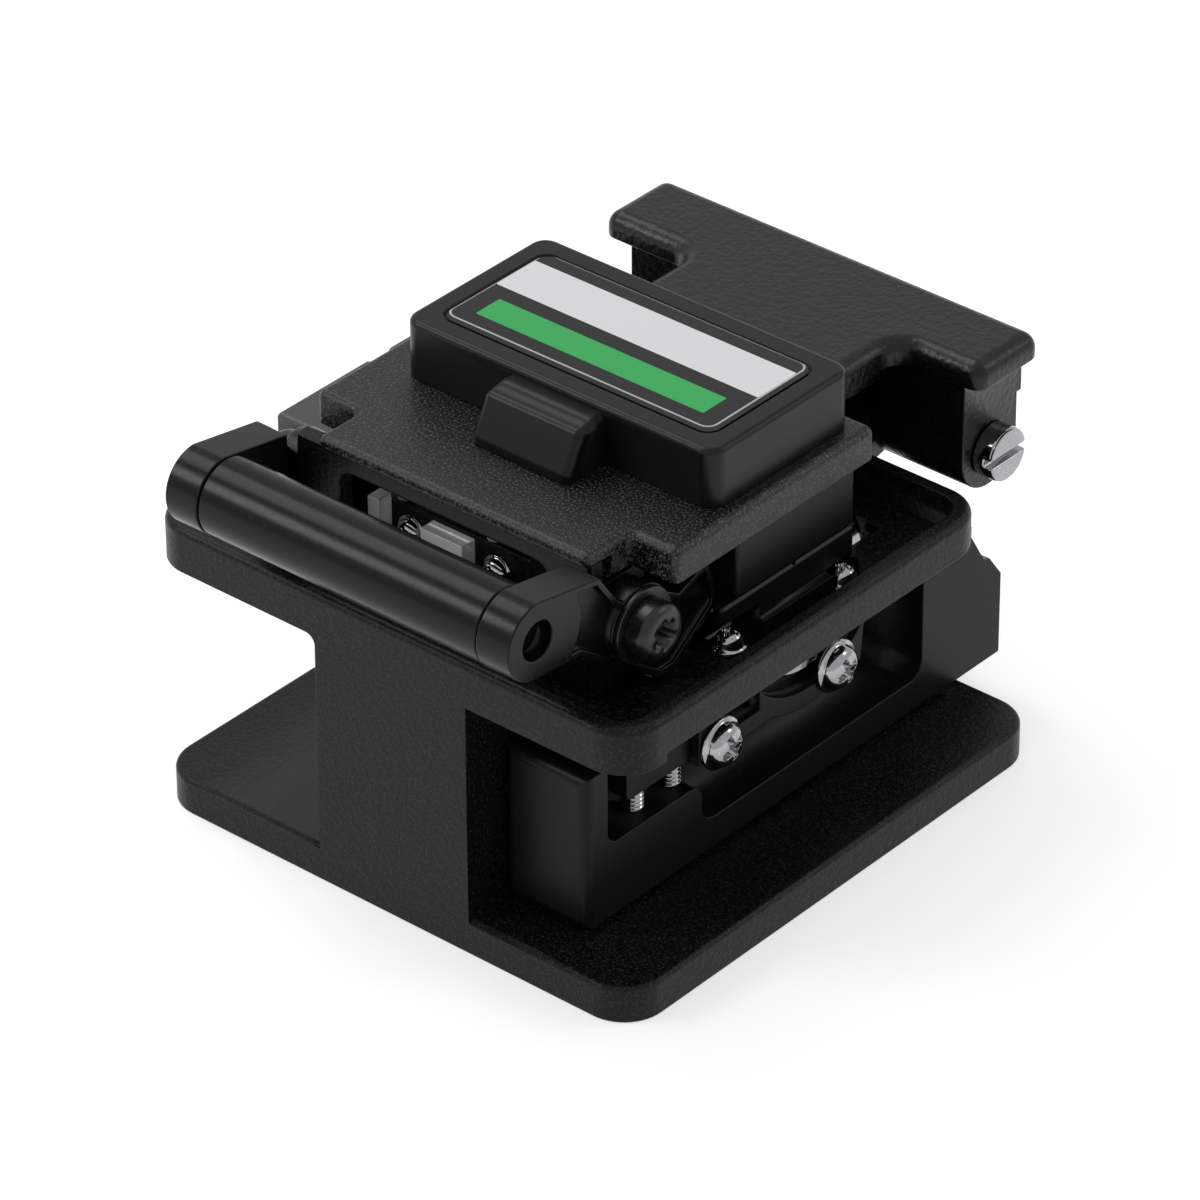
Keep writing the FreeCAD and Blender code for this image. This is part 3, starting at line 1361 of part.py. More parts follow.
def make_star_screw():
    """The pivot screw: a low dome with a six-lobed recess, standing on the origin."""
    body = make_pan_screw("star_screw", "torx_radius", "torx_height", "pivot_radius",
                          "washer_thick + arm_width + cheek_reach", False)
    star = new_sketch(body, "XY", "torx_height")
    corners = []
    for angle in range(0, 360, 30):
        radius = "star_radius" if angle % 60 == 0 else "star_waist"
        corners.append(("%s * cos(%d)" % (radius, angle), "%s * sin(%d)" % (radius, angle)))
    draw_outline(star, corners)
    pocket(body, star, "star_depth", -1)
    return body


def make_fasteners():
    """Every set of like fasteners, one node each."""
    nodes = []
    large = make_pan_screw("pan_screw", "pan_radius", "pan_height", "pan_shank_radius",
                           "pan_shank_length")
    small = make_pan_screw("small_screw", "small_pan_radius", "small_pan_height",
                           "small_shank_radius", "small_shank_length")
    deck = make_pan_screw("deck_screw", "small_pan_radius", "deck_pan_height",
                          "small_shank_radius", "deck_shank_length")
    short = make_pan_screw("short_screw", "small_pan_radius", "small_pan_height",
                           "small_shank_radius", "bridge_thick")
    nodes.append(copies("blade_holder_screws", large,
                        [("carriage_right", across, along) for across, along in HOLDER_PLACES],
                        FACE_RIGHT))
    nodes.append(copies("tray_screws", deck,
                        [(across, along, "tray_floor") for across, along in DECK_PLACES]))
    nodes.append(copies("lid_screws", small,
                        [(across, along, "lid_top") for across, along in LID_PLACES]))
    nodes.append(copies("slide_block_screws", small,
                        [("carriage_left + carriage_wall - small_pan_height", across, along)
                         for across, along in BLOCK_PLACES], FACE_RIGHT))
    nodes.append(copies("slide_rail_screws", small,
                        [("rail_seat + rail_height - small_pan_height", across, along)
                         for across, along in RAIL_PLACES], FACE_RIGHT))
    nodes.append(copies("stop_bar_screws", short,
                        [(across, "front + bridge_front", along)
                         for across, along in BRIDGE_PLACES], FACE_FRONT))
    star = make_star_screw()
    right = doc.addObject("App::Link", "pivot_screw_right")
    left = doc.addObject("App::Link", "pivot_screw_left")
    for link, place, turn in ((right, "bail_right + washer_thick", FACE_RIGHT),
                              (left, "bail_left - washer_thick", FACE_LEFT)):
        link.LinkedObject = star
        link.Placement = FreeCAD.Placement(FreeCAD.Vector(), turn)
        for axis, text in zip("xyz", (place, "pivot_at", "pivot_height")):
            bind(link, "Placement.Base." + axis, text)
    nodes.append(join("Compound", "bail_pivot_screws", [right, left]))
    return nodes


def make_washers():
    """The two dark washers under the pivot screws."""
    rings = []
    for name, place in (("washer_right", "bail_right"), ("washer_left", "bail_left - washer_thick")):
        disc = primitive("Cylinder", name + "_disc",
                         {"Radius": "washer_radius", "Height": "washer_thick"},
                         (place, "pivot_at", "pivot_height"), FACE_RIGHT)
        hole = primitive("Cylinder", name + "_hole",
                         {"Radius": "pivot_radius + fit_gap", "Height": "washer_thick"},
                         (place, "pivot_at", "pivot_height"), FACE_RIGHT)
        rings.append(join("Cut", name, (disc, hole)))
    return join("Compound", "bail_washers", rings)


def make_set_screws():
    """The two headless screws that set the blade's height; their tips rest on the step."""
    pins = []
    for number, (across, along) in enumerate(SET_PLACES, start=1):
        rod = primitive("Cylinder", "set_screw_rod_%d" % number,
                        {"Radius": "set_screw_radius", "Height": "set_screw_length"},
                        (across, along, "step_height + fit_gap"))
        socket = primitive("Cylinder", "set_screw_socket_%d" % number,
                           {"Radius": "set_screw_radius / 2", "Height": "set_screw_radius * 2"},
                           (across, along, "step_height + set_screw_length - set_screw_radius"))
        pins.append(join("Cut", "set_screw_%d" % number, (rod, socket)))
    return join("Compound", "height_set_screws", pins)


def make_bar_screws():
    """The socket screws sunk in the hubs, which hold the bar between the arms."""
    screws = []
    for name, face, way in (("bar_screw_right", "bail_right", 1), ("bar_screw_left", "bail_left", -1)):
        turn = FACE_LEFT if way > 0 else FACE_RIGHT
        sign = "-" if way > 0 else "+"
        seat = "%s %s (hub_width - arm_rim)" % (face, sign)
        head = primitive("Cylinder", name + "_head",
                         {"Radius": "hub_bore - fit_gap * 2", "Height": "hub_bore * 0.7"},
                         ("%s %s hub_width * 0.45" % (face, sign), "hub_at", "hub_height"), turn)
        shank = primitive("Cylinder", name + "_shank",
                          {"Radius": "bar_screw_radius", "Height": "bar_screw_length - hub_width / 2"},
                          (seat, "hub_at", "hub_height"), turn)
        socket = primitive("Cylinder", name + "_socket",
                           {"Radius": "hub_bore * 0.45", "Height": "hub_bore * 0.45"},
                           ("%s %s hub_width * 0.45" % (face, sign), "hub_at", "hub_height"), turn)
        solid = join("MultiFuse", name + "_blank", [head, shank])
        screws.append(join("Cut", name, (solid, socket)))
    return join("Compound", "bar_screws", screws)


def make_all():
    nodes = [make_cast_body(), make_front_bracket(), make_bridge(), make_holder_seat()]
    nodes += make_lower_clamps()
    nodes += [make_slotted_pin(), make_hinge_nut(), make_rail()]
    nodes += [make_rear_lever(), make_lid_plate(), make_label_cover(), make_label_plate()]
    nodes += make_upper_clamps()
    nodes += [make_anvil()]
    nodes += make_arms() + [make_bail_bar(), make_bar_screws(), make_washers(), make_bail_springs()]
    nodes += [make_carriage(), make_slide_block(), make_blade_arm(), make_blade_holder()]
    nodes += [make_disc(), make_disc_screw(), make_set_screws()]
    nodes.append(primitive("Cylinder", "blade_arm_pin",
                           {"Radius": "arm_pin_radius", "Height": "carriage_wall + arm_thick"},
                           ("carriage_left", "front + arm_pin_y", "arm_pin_height"), FACE_RIGHT))
    nodes.append(primitive("Cylinder", "travel_stop_pin",
                           {"Radius": "stop_radius", "Height": "base_thick - 1 + stop_rise"},
                           ("stop_x", "stop_y", "1")))
    nodes += make_fasteners()
    return nodes


def check_and_write():
    """Stop if anything failed, then write each node to its own file."""
    doc.recompute()
    for item in doc.Objects:
        if "Invalid" in item.State or "Error" in item.State:
            raise RuntimeError("%s did not recompute: %s" % (item.Label, item.State))
    os.makedirs("parts", exist_ok=True)
    for node in NODES:
        shape = node.Shape
        if shape.isNull() or not shape.isValid() or not shape.Solids:
            raise RuntimeError("%s has no valid solid" % node.Label)
        shape.exportStep("parts/%s.step" % node.Label)


NODES = make_all()
check_and_write()
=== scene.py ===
"""The looks of a bench cleaver for optical fibre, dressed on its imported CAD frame."""
import json
import math

import bmesh
import bpy
from mathutils import Matrix, Vector


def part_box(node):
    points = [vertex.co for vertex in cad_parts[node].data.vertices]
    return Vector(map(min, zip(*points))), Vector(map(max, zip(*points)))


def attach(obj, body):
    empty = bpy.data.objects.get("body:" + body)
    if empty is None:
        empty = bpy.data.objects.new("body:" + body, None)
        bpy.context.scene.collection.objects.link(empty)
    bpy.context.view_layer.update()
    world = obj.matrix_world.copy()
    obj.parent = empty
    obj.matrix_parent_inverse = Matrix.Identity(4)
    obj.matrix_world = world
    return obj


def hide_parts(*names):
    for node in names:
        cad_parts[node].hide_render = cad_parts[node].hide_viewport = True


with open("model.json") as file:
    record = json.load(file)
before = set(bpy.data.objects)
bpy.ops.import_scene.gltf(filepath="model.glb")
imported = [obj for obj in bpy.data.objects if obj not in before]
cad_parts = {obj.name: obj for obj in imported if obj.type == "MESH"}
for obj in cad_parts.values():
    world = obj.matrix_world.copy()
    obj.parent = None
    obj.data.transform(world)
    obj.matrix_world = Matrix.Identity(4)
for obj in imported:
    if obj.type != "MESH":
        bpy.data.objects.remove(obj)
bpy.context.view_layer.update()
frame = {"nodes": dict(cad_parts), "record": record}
nodes = frame["nodes"]
record = frame["record"]


# ---- The body --------------------------------------------------------------------------
# One aluminium casting, foot, column and tray, under a black powder coat.  The coat is
# satin and slightly pebbled, with fine paler specks, and its edges are softly broken.

COAT_EDGE = 0.00018
COOL_TINT = 1.03
SPECK_BAND = (0.52, 0.72)
ROUGH_BAND = (0.3, 0.7)
WELD = 0.000002
FLAT = math.radians(0.5)
CORNER = math.radians(28)


def add(tree, kind, links=(), **settings):
    """A node with its settings, and its inputs linked or set."""
    node = tree.nodes.new("ShaderNode" + kind)
    for key, value in settings.items():
        setattr(node, key, value)
    for key, value in dict(links).items():
        if isinstance(value, bpy.types.NodeSocket):
            tree.links.new(value, node.inputs[key])
        else:
            node.inputs[key].default_value = value
    return node


def mixed(tree, factor, under, over):
    """The colour that lies between two, by a factor."""
    return add(tree, "Mix", {0: factor, 6: under, 7: over}, data_type="RGBA").outputs[2]


def new_group(name, inputs, outputs):
    """An empty node group with its sockets, and its two end nodes."""
    group = bpy.data.node_groups.new(name, "ShaderNodeTree")
    for label, kind, value in inputs:
        socket = group.interface.new_socket(label, in_out="INPUT", socket_type=kind)
        socket.default_value = value
    for label, kind in outputs:
        group.interface.new_socket(label, in_out="OUTPUT", socket_type=kind)
    return group, group.nodes.new("NodeGroupInput"), group.nodes.new("NodeGroupOutput")


def make_grain():
    """Fine specks over a pebbled ground: a colour, a roughness and a height for bump."""
    group, given, result = new_group(
        "coat_grain",
        [("Dark", "NodeSocketColor", (0.003, 0.003, 0.003, 1)),
         ("Light", "NodeSocketColor", (0.03, 0.03, 0.03, 1)),
         ("Grain", "NodeSocketFloat", 5000.0),
         ("Pebble", "NodeSocketFloat", 1200.0),
         ("Pebble Share", "NodeSocketFloat", 0.4),
         ("Rough Low", "NodeSocketFloat", 0.4),
         ("Rough High", "NodeSocketFloat", 0.5)],
        [("Color", "NodeSocketColor"), ("Roughness", "NodeSocketFloat"),
         ("Height", "NodeSocketFloat")])
    place = add(group, "TexCoord").outputs["Object"]
    fine = add(group, "TexNoise", {"Vector": place, "Scale": given.outputs["Grain"],
                                   "Detail": 2.0, "Roughness": 0.6}).outputs["Fac"]
    pebble = add(group, "TexVoronoi", {"Vector": place, "Scale": given.outputs["Pebble"],
                                       "Smoothness": 0.6, "Randomness": 1.0},
                 feature="SMOOTH_F1").outputs["Distance"]
    speck = add(group, "MapRange", {"Value": fine, "From Min": SPECK_BAND[0],
                                    "From Max": SPECK_BAND[1]})
    colour = mixed(group, speck.outputs["Result"], given.outputs["Dark"],
                   given.outputs["Light"])
    rough = add(group, "MapRange", {"Value": fine, "From Min": ROUGH_BAND[0],
                                    "From Max": ROUGH_BAND[1],
                                    "To Min": given.outputs["Rough Low"],
                                    "To Max": given.outputs["Rough High"]})
    height = add(group, "Mix", {0: given.outputs["Pebble Share"], 2: fine, 3: pebble})
    group.links.new(colour, result.inputs["Color"])
    group.links.new(rough.outputs["Result"], result.inputs["Roughness"])
    group.links.new(height.outputs[0], result.inputs["Height"])
    return group


coat_grain = make_grain()


def grained(name, dark, light, grain, pebble, share, rough, bump, metal=0.0, gloss=0.5):
    """A finish whose colour, roughness and bump come from the grain group."""
    material = bpy.data.materials.new(name)
    material.use_nodes = True
    tree = material.node_tree
    shader = tree.nodes["Principled BSDF"]
    shader.inputs["Metallic"].default_value = metal
    shader.inputs["Specular IOR Level"].default_value = gloss
    texture = tree.nodes.new("ShaderNodeGroup")
    texture.node_tree = coat_grain
    values = {"Dark": (dark, dark, dark * COOL_TINT, 1),
              "Light": (light, light, light * COOL_TINT, 1),
              "Grain": grain, "Pebble": pebble, "Pebble Share": share,
              "Rough Low": rough[0], "Rough High": rough[1]}
    for key, value in values.items():
        texture.inputs[key].default_value = value
    relief = add(tree, "Bump", {"Height": texture.outputs["Height"], "Strength": 1.0,
                                "Distance": bump})
    tree.links.new(texture.outputs["Color"], shader.inputs["Base Color"])
    tree.links.new(texture.outputs["Roughness"], shader.inputs["Roughness"])
    tree.links.new(relief.outputs["Normal"], shader.inputs["Normal"])
    return material


carrier = {node: body for body, members in record["behaviour"]["bodies"].items()
           for node in members}


def welded(name):
    """A CAD node's solid as a bmesh, with its facets joined and its flat faces whole."""
    solid = bmesh.new()
    solid.from_mesh(nodes[name].data)
    bmesh.ops.remove_doubles(solid, verts=solid.verts, dist=WELD)
    bmesh.ops.dissolve_limit(solid, angle_limit=FLAT, verts=solid.verts, edges=solid.edges)
    return solid


def stand_for(name, solid, material, node):
    """A piece made from a mesh, which rides where its CAD node does and stands for it."""
    mesh = bpy.data.meshes.new(name)
    solid.to_mesh(mesh)
    solid.free()
    mesh.polygons.foreach_set("use_smooth", [True] * len(mesh.polygons))
    mesh.materials.append(material)
    piece = bpy.data.objects.new(name, mesh)
    bpy.context.scene.collection.objects.link(piece)
    shade = piece.modifiers.new("flat_faces", "WEIGHTED_NORMAL")
    shade.keep_sharp = True
    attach(piece, carrier[node])
    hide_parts(node)
    return piece


def broken(solid, width):
    """A solid with its sharp outer edges broken, as tumbling or a thick coat leaves them."""
    corners = [edge for edge in solid.edges if len(edge.link_faces) == 2
               and edge.is_convex and edge.calc_face_angle() > CORNER]
    bmesh.ops.bevel(solid, geom=corners, offset=width, offset_type="OFFSET", segments=2,
                    profile=0.5, affect="EDGES", clamp_overlap=False, loop_slide=True)
    return solid


def ease(material, width, *names):
    """Pieces with the solids' shapes and broken edges."""
    return [stand_for(name + "_eased", broken(welded(name), width), material, name)
            for name in names]


powder_coat = grained("powder_coat", dark=0.0015, light=0.034, grain=3600, pebble=1500,
                      share=0.55, rough=(0.32, 0.46), bump=0.00006, gloss=0.2)
ease(powder_coat, COAT_EDGE, "cast_body")


# ---- The front bracket and the stop bar -----------------------------------------------
# A second casting in the same coat stands in the tray's front, with a window in it.  The
# bar behind shows a bright ground block and pins, on a plate that is coated like the rest.

BAR_EDGE = 0.0001
BLOCK_REACH = 0.002
PIN_RISE = 0.001
NEARLY = 0.95

ease(powder_coat, COAT_EDGE, "front_bracket")
satin_steel = grained("satin_steel", dark=0.8, light=0.88, grain=2600, pebble=600,
                      share=0.2, rough=(0.3, 0.42), bump=0.000002, metal=0.15)
bar_low, bar_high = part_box("fibre_stop_bar")
stop_bar, = ease(satin_steel, BAR_EDGE, "fibre_stop_bar")
stop_bar.data.materials.append(powder_coat)
for face in stop_bar.data.polygons:
    behind_block = face.center.y > bar_low[1] + NEARLY * BLOCK_REACH
    below_pins = face.center.z < bar_high[2] - NEARLY * PIN_RISE
    if behind_block and below_pins:
        face.material_index = 1


# ---- The plated screws ----------------------------------------------------------------
# Bright steel pan heads with a rolled flange and a cross recess hold the blade's cup, the
# tray's deck and the stop bar.  The small ones inside keep the solids' plain shapes.

ACROSS, ALONG, UP = range(3)
SIDES = 56
DOME_STEPS = 8
PAST_TOP = 1.3

# Shares of a pan head's radius and height.
SHANK = 0.5
DOME = 0.84
DOME_FULLNESS = 0.7
FLANGE = 0.24
FLANGE_SEAT = 0.97
FLANGE_BROW = 0.96
FLANGE_ROLL = 0.3
SHOULDER = 1.05
CROSS_FLOOR = (0.26, 0.09)
CROSS_MOUTH = (0.60, 0.15)
CROSS_DEEP = 0.25
CROSS_TURN = 20


def turned(solid, profile):
    """Turn a profile of radius and height about +Z; it starts and ends on the axis."""
    rings = []
    for radius, height in profile:
        if radius == 0:
            rings.append([solid.verts.new((0, 0, height))])
        else:
            rings.append([solid.verts.new((radius * math.cos(math.tau * step / SIDES),
                                           radius * math.sin(math.tau * step / SIDES), height))
                          for step in range(SIDES)])
    for low, high in zip(rings, rings[1:]):
        for step in range(SIDES):
            after = (step + 1) % SIDES
            corners = [low[step % len(low)], low[after % len(low)],
                       high[after % len(high)], high[step % len(high)]]
            solid.faces.new(list(dict.fromkeys(corners)))
    bmesh.ops.recalc_face_normals(solid, faces=solid.faces)


def prism(low_outline, high_outline, low, high):
    """A closed solid between two outlines of as many points, at two heights."""
    solid = bmesh.new()
    floor_ring = [solid.verts.new((*place, low)) for place in low_outline]
    mouth_ring = [solid.verts.new((*place, high)) for place in high_outline]
    solid.faces.new(floor_ring[::-1])
    solid.faces.new(mouth_ring)
    for step, start in enumerate(floor_ring):
        after = (step + 1) % len(floor_ring)
        solid.faces.new((start, floor_ring[after], mouth_ring[after], mouth_ring[step]))
    bmesh.ops.recalc_face_normals(solid, faces=solid.faces)
    return solid


def cut(solid, tool):
    """The first mesh less the second, by an exact boolean."""
    pair = []
    for label, source in (("blank", solid), ("tool", tool)):
        mesh = bpy.data.meshes.new(label)
        source.to_mesh(mesh)
        source.free()
        pair.append(bpy.data.objects.new(label, mesh))
        bpy.context.scene.collection.objects.link(pair[-1])
    knife = pair[0].modifiers.new("cut", "BOOLEAN")
    knife.operation = "DIFFERENCE"
    knife.solver = "EXACT"
    knife.object = pair[1]
    evaluated = pair[0].evaluated_get(bpy.context.evaluated_depsgraph_get())
    result = bmesh.new()
    result.from_mesh(evaluated.to_mesh())
    evaluated.to_mesh_clear()
    for helper in pair:
        mesh = helper.data
        bpy.data.objects.remove(helper)
        bpy.data.meshes.remove(mesh)
    return result


def cross_outline(radius, shares):
    """The twelve corners of a plus sign, from the reach and half width of its arms."""
    reach, half = (radius * share for share in shares)
    corners = []
    for quarter in range(4):
        turn = Matrix.Rotation(math.radians(90 * quarter + CROSS_TURN), 2)
        for corner in ((reach, -half), (reach, half), (half, half)):
            corners.append(tuple(turn @ Vector(corner)))
    return corners


def cross_head(radius, rise, length):
    """A pan head on its shank, the seat at height 0, with a flange and a cross recess."""
    dome, flange, shank = radius * DOME, rise * FLANGE, radius * SHANK
    shoulder = flange * SHOULDER
    profile = [(0, -length), (shank, -length), (shank, 0), (radius * FLANGE_SEAT, 0),
               (radius, flange * FLANGE_ROLL), (radius, flange * (1 - FLANGE_ROLL)),
               (radius * FLANGE_BROW, flange), (dome, shoulder)]
    for step in range(1, DOME_STEPS + 1):
        angle = math.pi / 2 * step / DOME_STEPS
        across = dome * math.cos(angle) ** DOME_FULLNESS if step < DOME_STEPS else 0
        profile.append((across, shoulder + (rise - shoulder) * math.sin(angle)))
    head = bmesh.new()
    turned(head, profile)
    return cut(head, prism(cross_outline(radius, CROSS_FLOOR),
                           cross_outline(radius, CROSS_MOUTH),
                           rise * CROSS_DEEP, rise * PAST_TOP))


def islands(solid):
    """The two end corners of the box round each separate solid in a mesh."""
    seen = set()
    for start in solid.verts:
        if start in seen:
            continue
        seen.add(start)
        found = [start]
        for vertex in found:
            for edge in vertex.link_edges:
                other = edge.other_vert(vertex)
                if other not in seen:
                    seen.add(other)
                    found.append(other)
        yield (Vector([min(vertex.co[axis] for vertex in found) for axis in range(3)]),
               Vector([max(vertex.co[axis] for vertex in found) for axis in range(3)]))


def aimed(solid, middle, axis, way):
    """Turn a solid made about +Z to lie along an axis through a point."""
    aim = Vector((0, 0, 0))
    aim[axis] = way
    turn = Vector((0, 0, 1)).rotation_difference(aim).to_matrix().to_4x4()
    bmesh.ops.transform(solid, matrix=Matrix.Translation(middle) @ turn, verts=solid.verts)
    return solid


def gather(name, material, node, solids):
    """One piece from the solids that stand for a node's."""
    group = bmesh.new()
    for solid in solids:
        mesh = bpy.data.meshes.new("part")
        solid.to_mesh(mesh)
        solid.free()
        group.from_mesh(mesh)
        bpy.data.meshes.remove(mesh)
    return stand_for(name, group, material, node)


def screws(node, material, make, rise, axis, way=None):
    """Detailed screws in a node's places, their heads one way or each to its own side."""
    solids = []
    width = (axis + 1) % 3
    for low, high in islands(welded(node)):
        side = way or (1 if low[axis] > 0 else -1)
        seat = (low + high) / 2
        seat[axis] = (high[axis] if side > 0 else low[axis]) - side * rise
        screw = make((high[width] - low[width]) / 2, rise, high[axis] - low[axis] - rise)
        solids.append(aimed(screw, seat, axis, side))
    return gather(node + "_cut", material, node, solids)


plated = grained("plated_screws", dark=0.36, light=0.46, grain=2500, pebble=700, share=0.3,
                 rough=(0.06, 0.12), bump=0.0000012, metal=1.0)
screws("blade_holder_screws", plated, cross_head, rise=0.0021, axis=ACROSS, way=1)
screws("tray_screws", plated, cross_head, rise=0.0022, axis=UP, way=1)
screws("stop_bar_screws", plated, cross_head, rise=0.0013, axis=ALONG, way=-1)


def finish(material, *names):
    """Give CAD nodes one finish."""
    for name in names:
        mesh = nodes[name].data
        mesh.materials.clear()
        mesh.materials.append(material)


finish(plated, "lid_screws", "slide_block_screws", "slide_rail_screws", "disc_screw")


# ---- The height set screws --------------------------------------------------------------
# Two bright threaded rods under the rocking arm set how high the blade stands.  Each is one
# closed helical surface, with a rolled metric thread.

THREAD_PITCH = 0.0005
THREAD_DEPTH = 0.00024
THREAD_RINGS = 8


def threaded(radius, length):
    """A screw thread about +Z, as one closed helical surface."""
    rod = bmesh.new()
    rings = max(2, round(length / THREAD_PITCH * THREAD_RINGS))
    grid = []
    for ring in range(rings + 1):
        height = length * ring / rings
        row = []
        for step in range(SIDES):
            phase = (height / THREAD_PITCH - step / SIDES) % 1
            across = radius - THREAD_DEPTH * abs(2 * phase - 1)
            angle = math.tau * step / SIDES
            row.append(rod.verts.new((across * math.cos(angle), across * math.sin(angle),
                                      height - length / 2)))
        grid.append(row)
    for below, above in zip(grid, grid[1:]):
        for step in range(SIDES):
            after = (step + 1) % SIDES
            rod.faces.new((below[step], below[after], above[after], above[step]))
    rod.faces.new(grid[0][::-1])
    rod.faces.new(grid[-1])
    return rod


rods = []
for low, high in islands(welded("height_set_screws")):
    size = high - low
    axis = max(range(3), key=lambda index: size[index])
    radius = size[(axis + 1) % 3] / 2
    rods.append(aimed(threaded(radius, size[axis]), (low + high) / 2, axis, 1))
gather("height_set_screws_threaded", plated, "height_set_screws", rods)


# ---- The slide rail and the blade carriage ----------------------------------------------
# A stepped casting in a smooth coat runs on a ground steel rail.  It holds the rocking arm
# and the cup that shields the blade, a round disc of carbide with lapped faces.

SLIDE_EDGE = 0.00015
REAR_CHAMFER = 0.0022

ground_steel = grained("ground_steel", dark=0.42, light=0.62, grain=2600, pebble=600,
                       share=0.2, rough=(0.14, 0.26), bump=0.000002, metal=1.0)
finish(ground_steel, "slide_rail", "slide_block", "blade_arm_pin", "travel_stop_pin")
smooth_coat = grained("smooth_coat", dark=0.004, light=0.017, grain=6000, pebble=1300,
                      share=0.3, rough=(0.3, 0.4), bump=0.000012, gloss=0.15)
ease(smooth_coat, SLIDE_EDGE, "blade_arm", "blade_holder")
lapped = grained("lapped_carbide", dark=0.36, light=0.40, grain=7000, pebble=300, share=0.1,
                 rough=(0.12, 0.16), bump=0.0000004, metal=1.0)
finish(lapped, "blade_disc")

casting = welded("carriage_frame")
rear = max(vertex.co.y for vertex in casting.verts) - WELD
rear_top = max(vertex.co.z for vertex in casting.verts if vertex.co.y > rear) - WELD
rear_edges = [edge for edge in casting.edges
              if all(end.co.y > rear and end.co.z > rear_top for end in edge.verts)]
bmesh.ops.bevel(casting, geom=rear_edges, offset=REAR_CHAMFER, offset_type="OFFSET",
                segments=1, affect="EDGES", clamp_overlap=True)
stand_for("carriage_frame_eased", broken(casting, SLIDE_EDGE), smooth_coat, "carriage_frame")


# ---- The lid plate --------------------------------------------------------------------
# Cast aluminium in a coarser coat, whose grains catch the light as sparkle.  Under it sits
# the plated magnet that holds the lid shut.

LID_EDGE = 0.00015

sparkle_coat = grained("sparkle_coat", dark=0.001, light=0.11, grain=3800, pebble=1800,
                       share=0.3, rough=(0.3, 0.5), bump=0.00007, gloss=0.38)
ease(sparkle_coat, LID_EDGE, "lid_plate")
finish(plated, "latch_magnet")


# ---- The rear lever and its axle --------------------------------------------------------
# The lid's cast handle, in a coat that has set like fine leather.  It turns on a plated
# axle with a slotted head, which a nut holds on the far side.

LEVER_EDGE = 0.0002
AXLE_EDGE = 0.00025

leather_coat = grained("leather_coat", dark=0.002, light=0.013, grain=3400, pebble=1500,
                       share=0.8, rough=(0.26, 0.36), bump=0.00006, gloss=0.34)
ease(leather_coat, LEVER_EDGE, "rear_lever")
ease(plated, AXLE_EDGE, "hinge_axle")
finish(ground_steel, "hinge_nut")


# ---- The fibre clamps -----------------------------------------------------------------
# Anodised blocks above and below the fibre, each with a rubber pad let into its face, and
# the ground steel anvil that bends the fibre between them.

CLAMP_EDGE = 0.00012
THIN_CLAMP_EDGE = 0.00006

anodised = grained("anodised", dark=0.005, light=0.010, grain=6000, pebble=700, share=0.3,
                   rough=(0.28, 0.36), bump=0.000004, gloss=0.17)
ease(anodised, CLAMP_EDGE, "upper_clamp_left", "upper_clamp_right", "lower_clamp_left")
ease(anodised, THIN_CLAMP_EDGE, "lower_clamp_right")
pad_rubber = grained("pad_rubber", dark=0.012, light=0.022, grain=2500, pebble=700,
                     share=0.4, rough=(0.7, 0.85), bump=0.00001)
finish(pad_rubber, "upper_pad_left", "upper_pad_right", "lower_pad_left", "lower_pad_right")
finish(ground_steel, "anvil")


# ---- The fibre holder seat --------------------------------------------------------------
# A dark grey metal block at the tray's left, in which the holder with the fibre lies.  It
# is milled, with a satin surface.

SEAT_EDGE = 0.0002

grey_block = grained("grey_block", dark=0.07, light=0.105, grain=4000, pebble=700, share=0.3,
                     rough=(0.35, 0.45), bump=0.000005, metal=0.3)
ease(grey_block, SEAT_EDGE, "fibre_holder_seat")


# ---- The press bail -------------------------------------------------------------------
# Two arms and the bar between them, in a smooth black.  The arms turn on black oxide screws
# with a six-lobed recess, over washers, and the bar's own screws sit deep in the hubs.

BAIL_EDGE = 0.00018
WASHER_EDGE = 0.00012
LOBES = 6

# Shares of a cheese head's radius and height.
STAR_SHANK = 0.55
STAR_SEAT = 0.97
STAR_FOOT = 0.05
STAR_ROLL = 0.42
STAR_CROWN = 0.92
STAR_FLOOR = (0.50, 0.36)
STAR_MOUTH = (0.52, 0.38)
STAR_DEEP = 0.30


def star_outline(radius, shares):
    """A six-lobed star as one smooth wave round a circle, from its tips and waists."""
    tip, waist = (radius * share for share in shares)
    middle, swing = (tip + waist) / 2, (tip - waist) / 2
    points = []
    for step in range(SIDES):
        angle = math.tau * step / SIDES
        across = middle + swing * math.cos(LOBES * angle)
        points.append((across * math.cos(angle), across * math.sin(angle)))
    return points


def star_head(radius, rise, length):
    """A cheese head with rolled edges and a six-lobed recess."""
    shank, roll = radius * STAR_SHANK, rise * STAR_ROLL
    profile = [(0, -length), (shank, -length), (shank, 0), (radius * STAR_SEAT, 0),
               (radius, rise * STAR_FOOT), (radius, rise - roll)]
    for step in range(1, DOME_STEPS + 1):
        angle = math.pi / 2 * step / DOME_STEPS
        profile.append((radius - roll * (1 - math.cos(angle)),
                        rise - roll + roll * STAR_CROWN * math.sin(angle)))
    profile.append((0, rise))
    head = bmesh.new()
    turned(head, profile)
    return cut(head, prism(star_outline(radius, STAR_FLOOR), star_outline(radius, STAR_MOUTH),
                           rise * STAR_DEEP, rise * PAST_TOP))


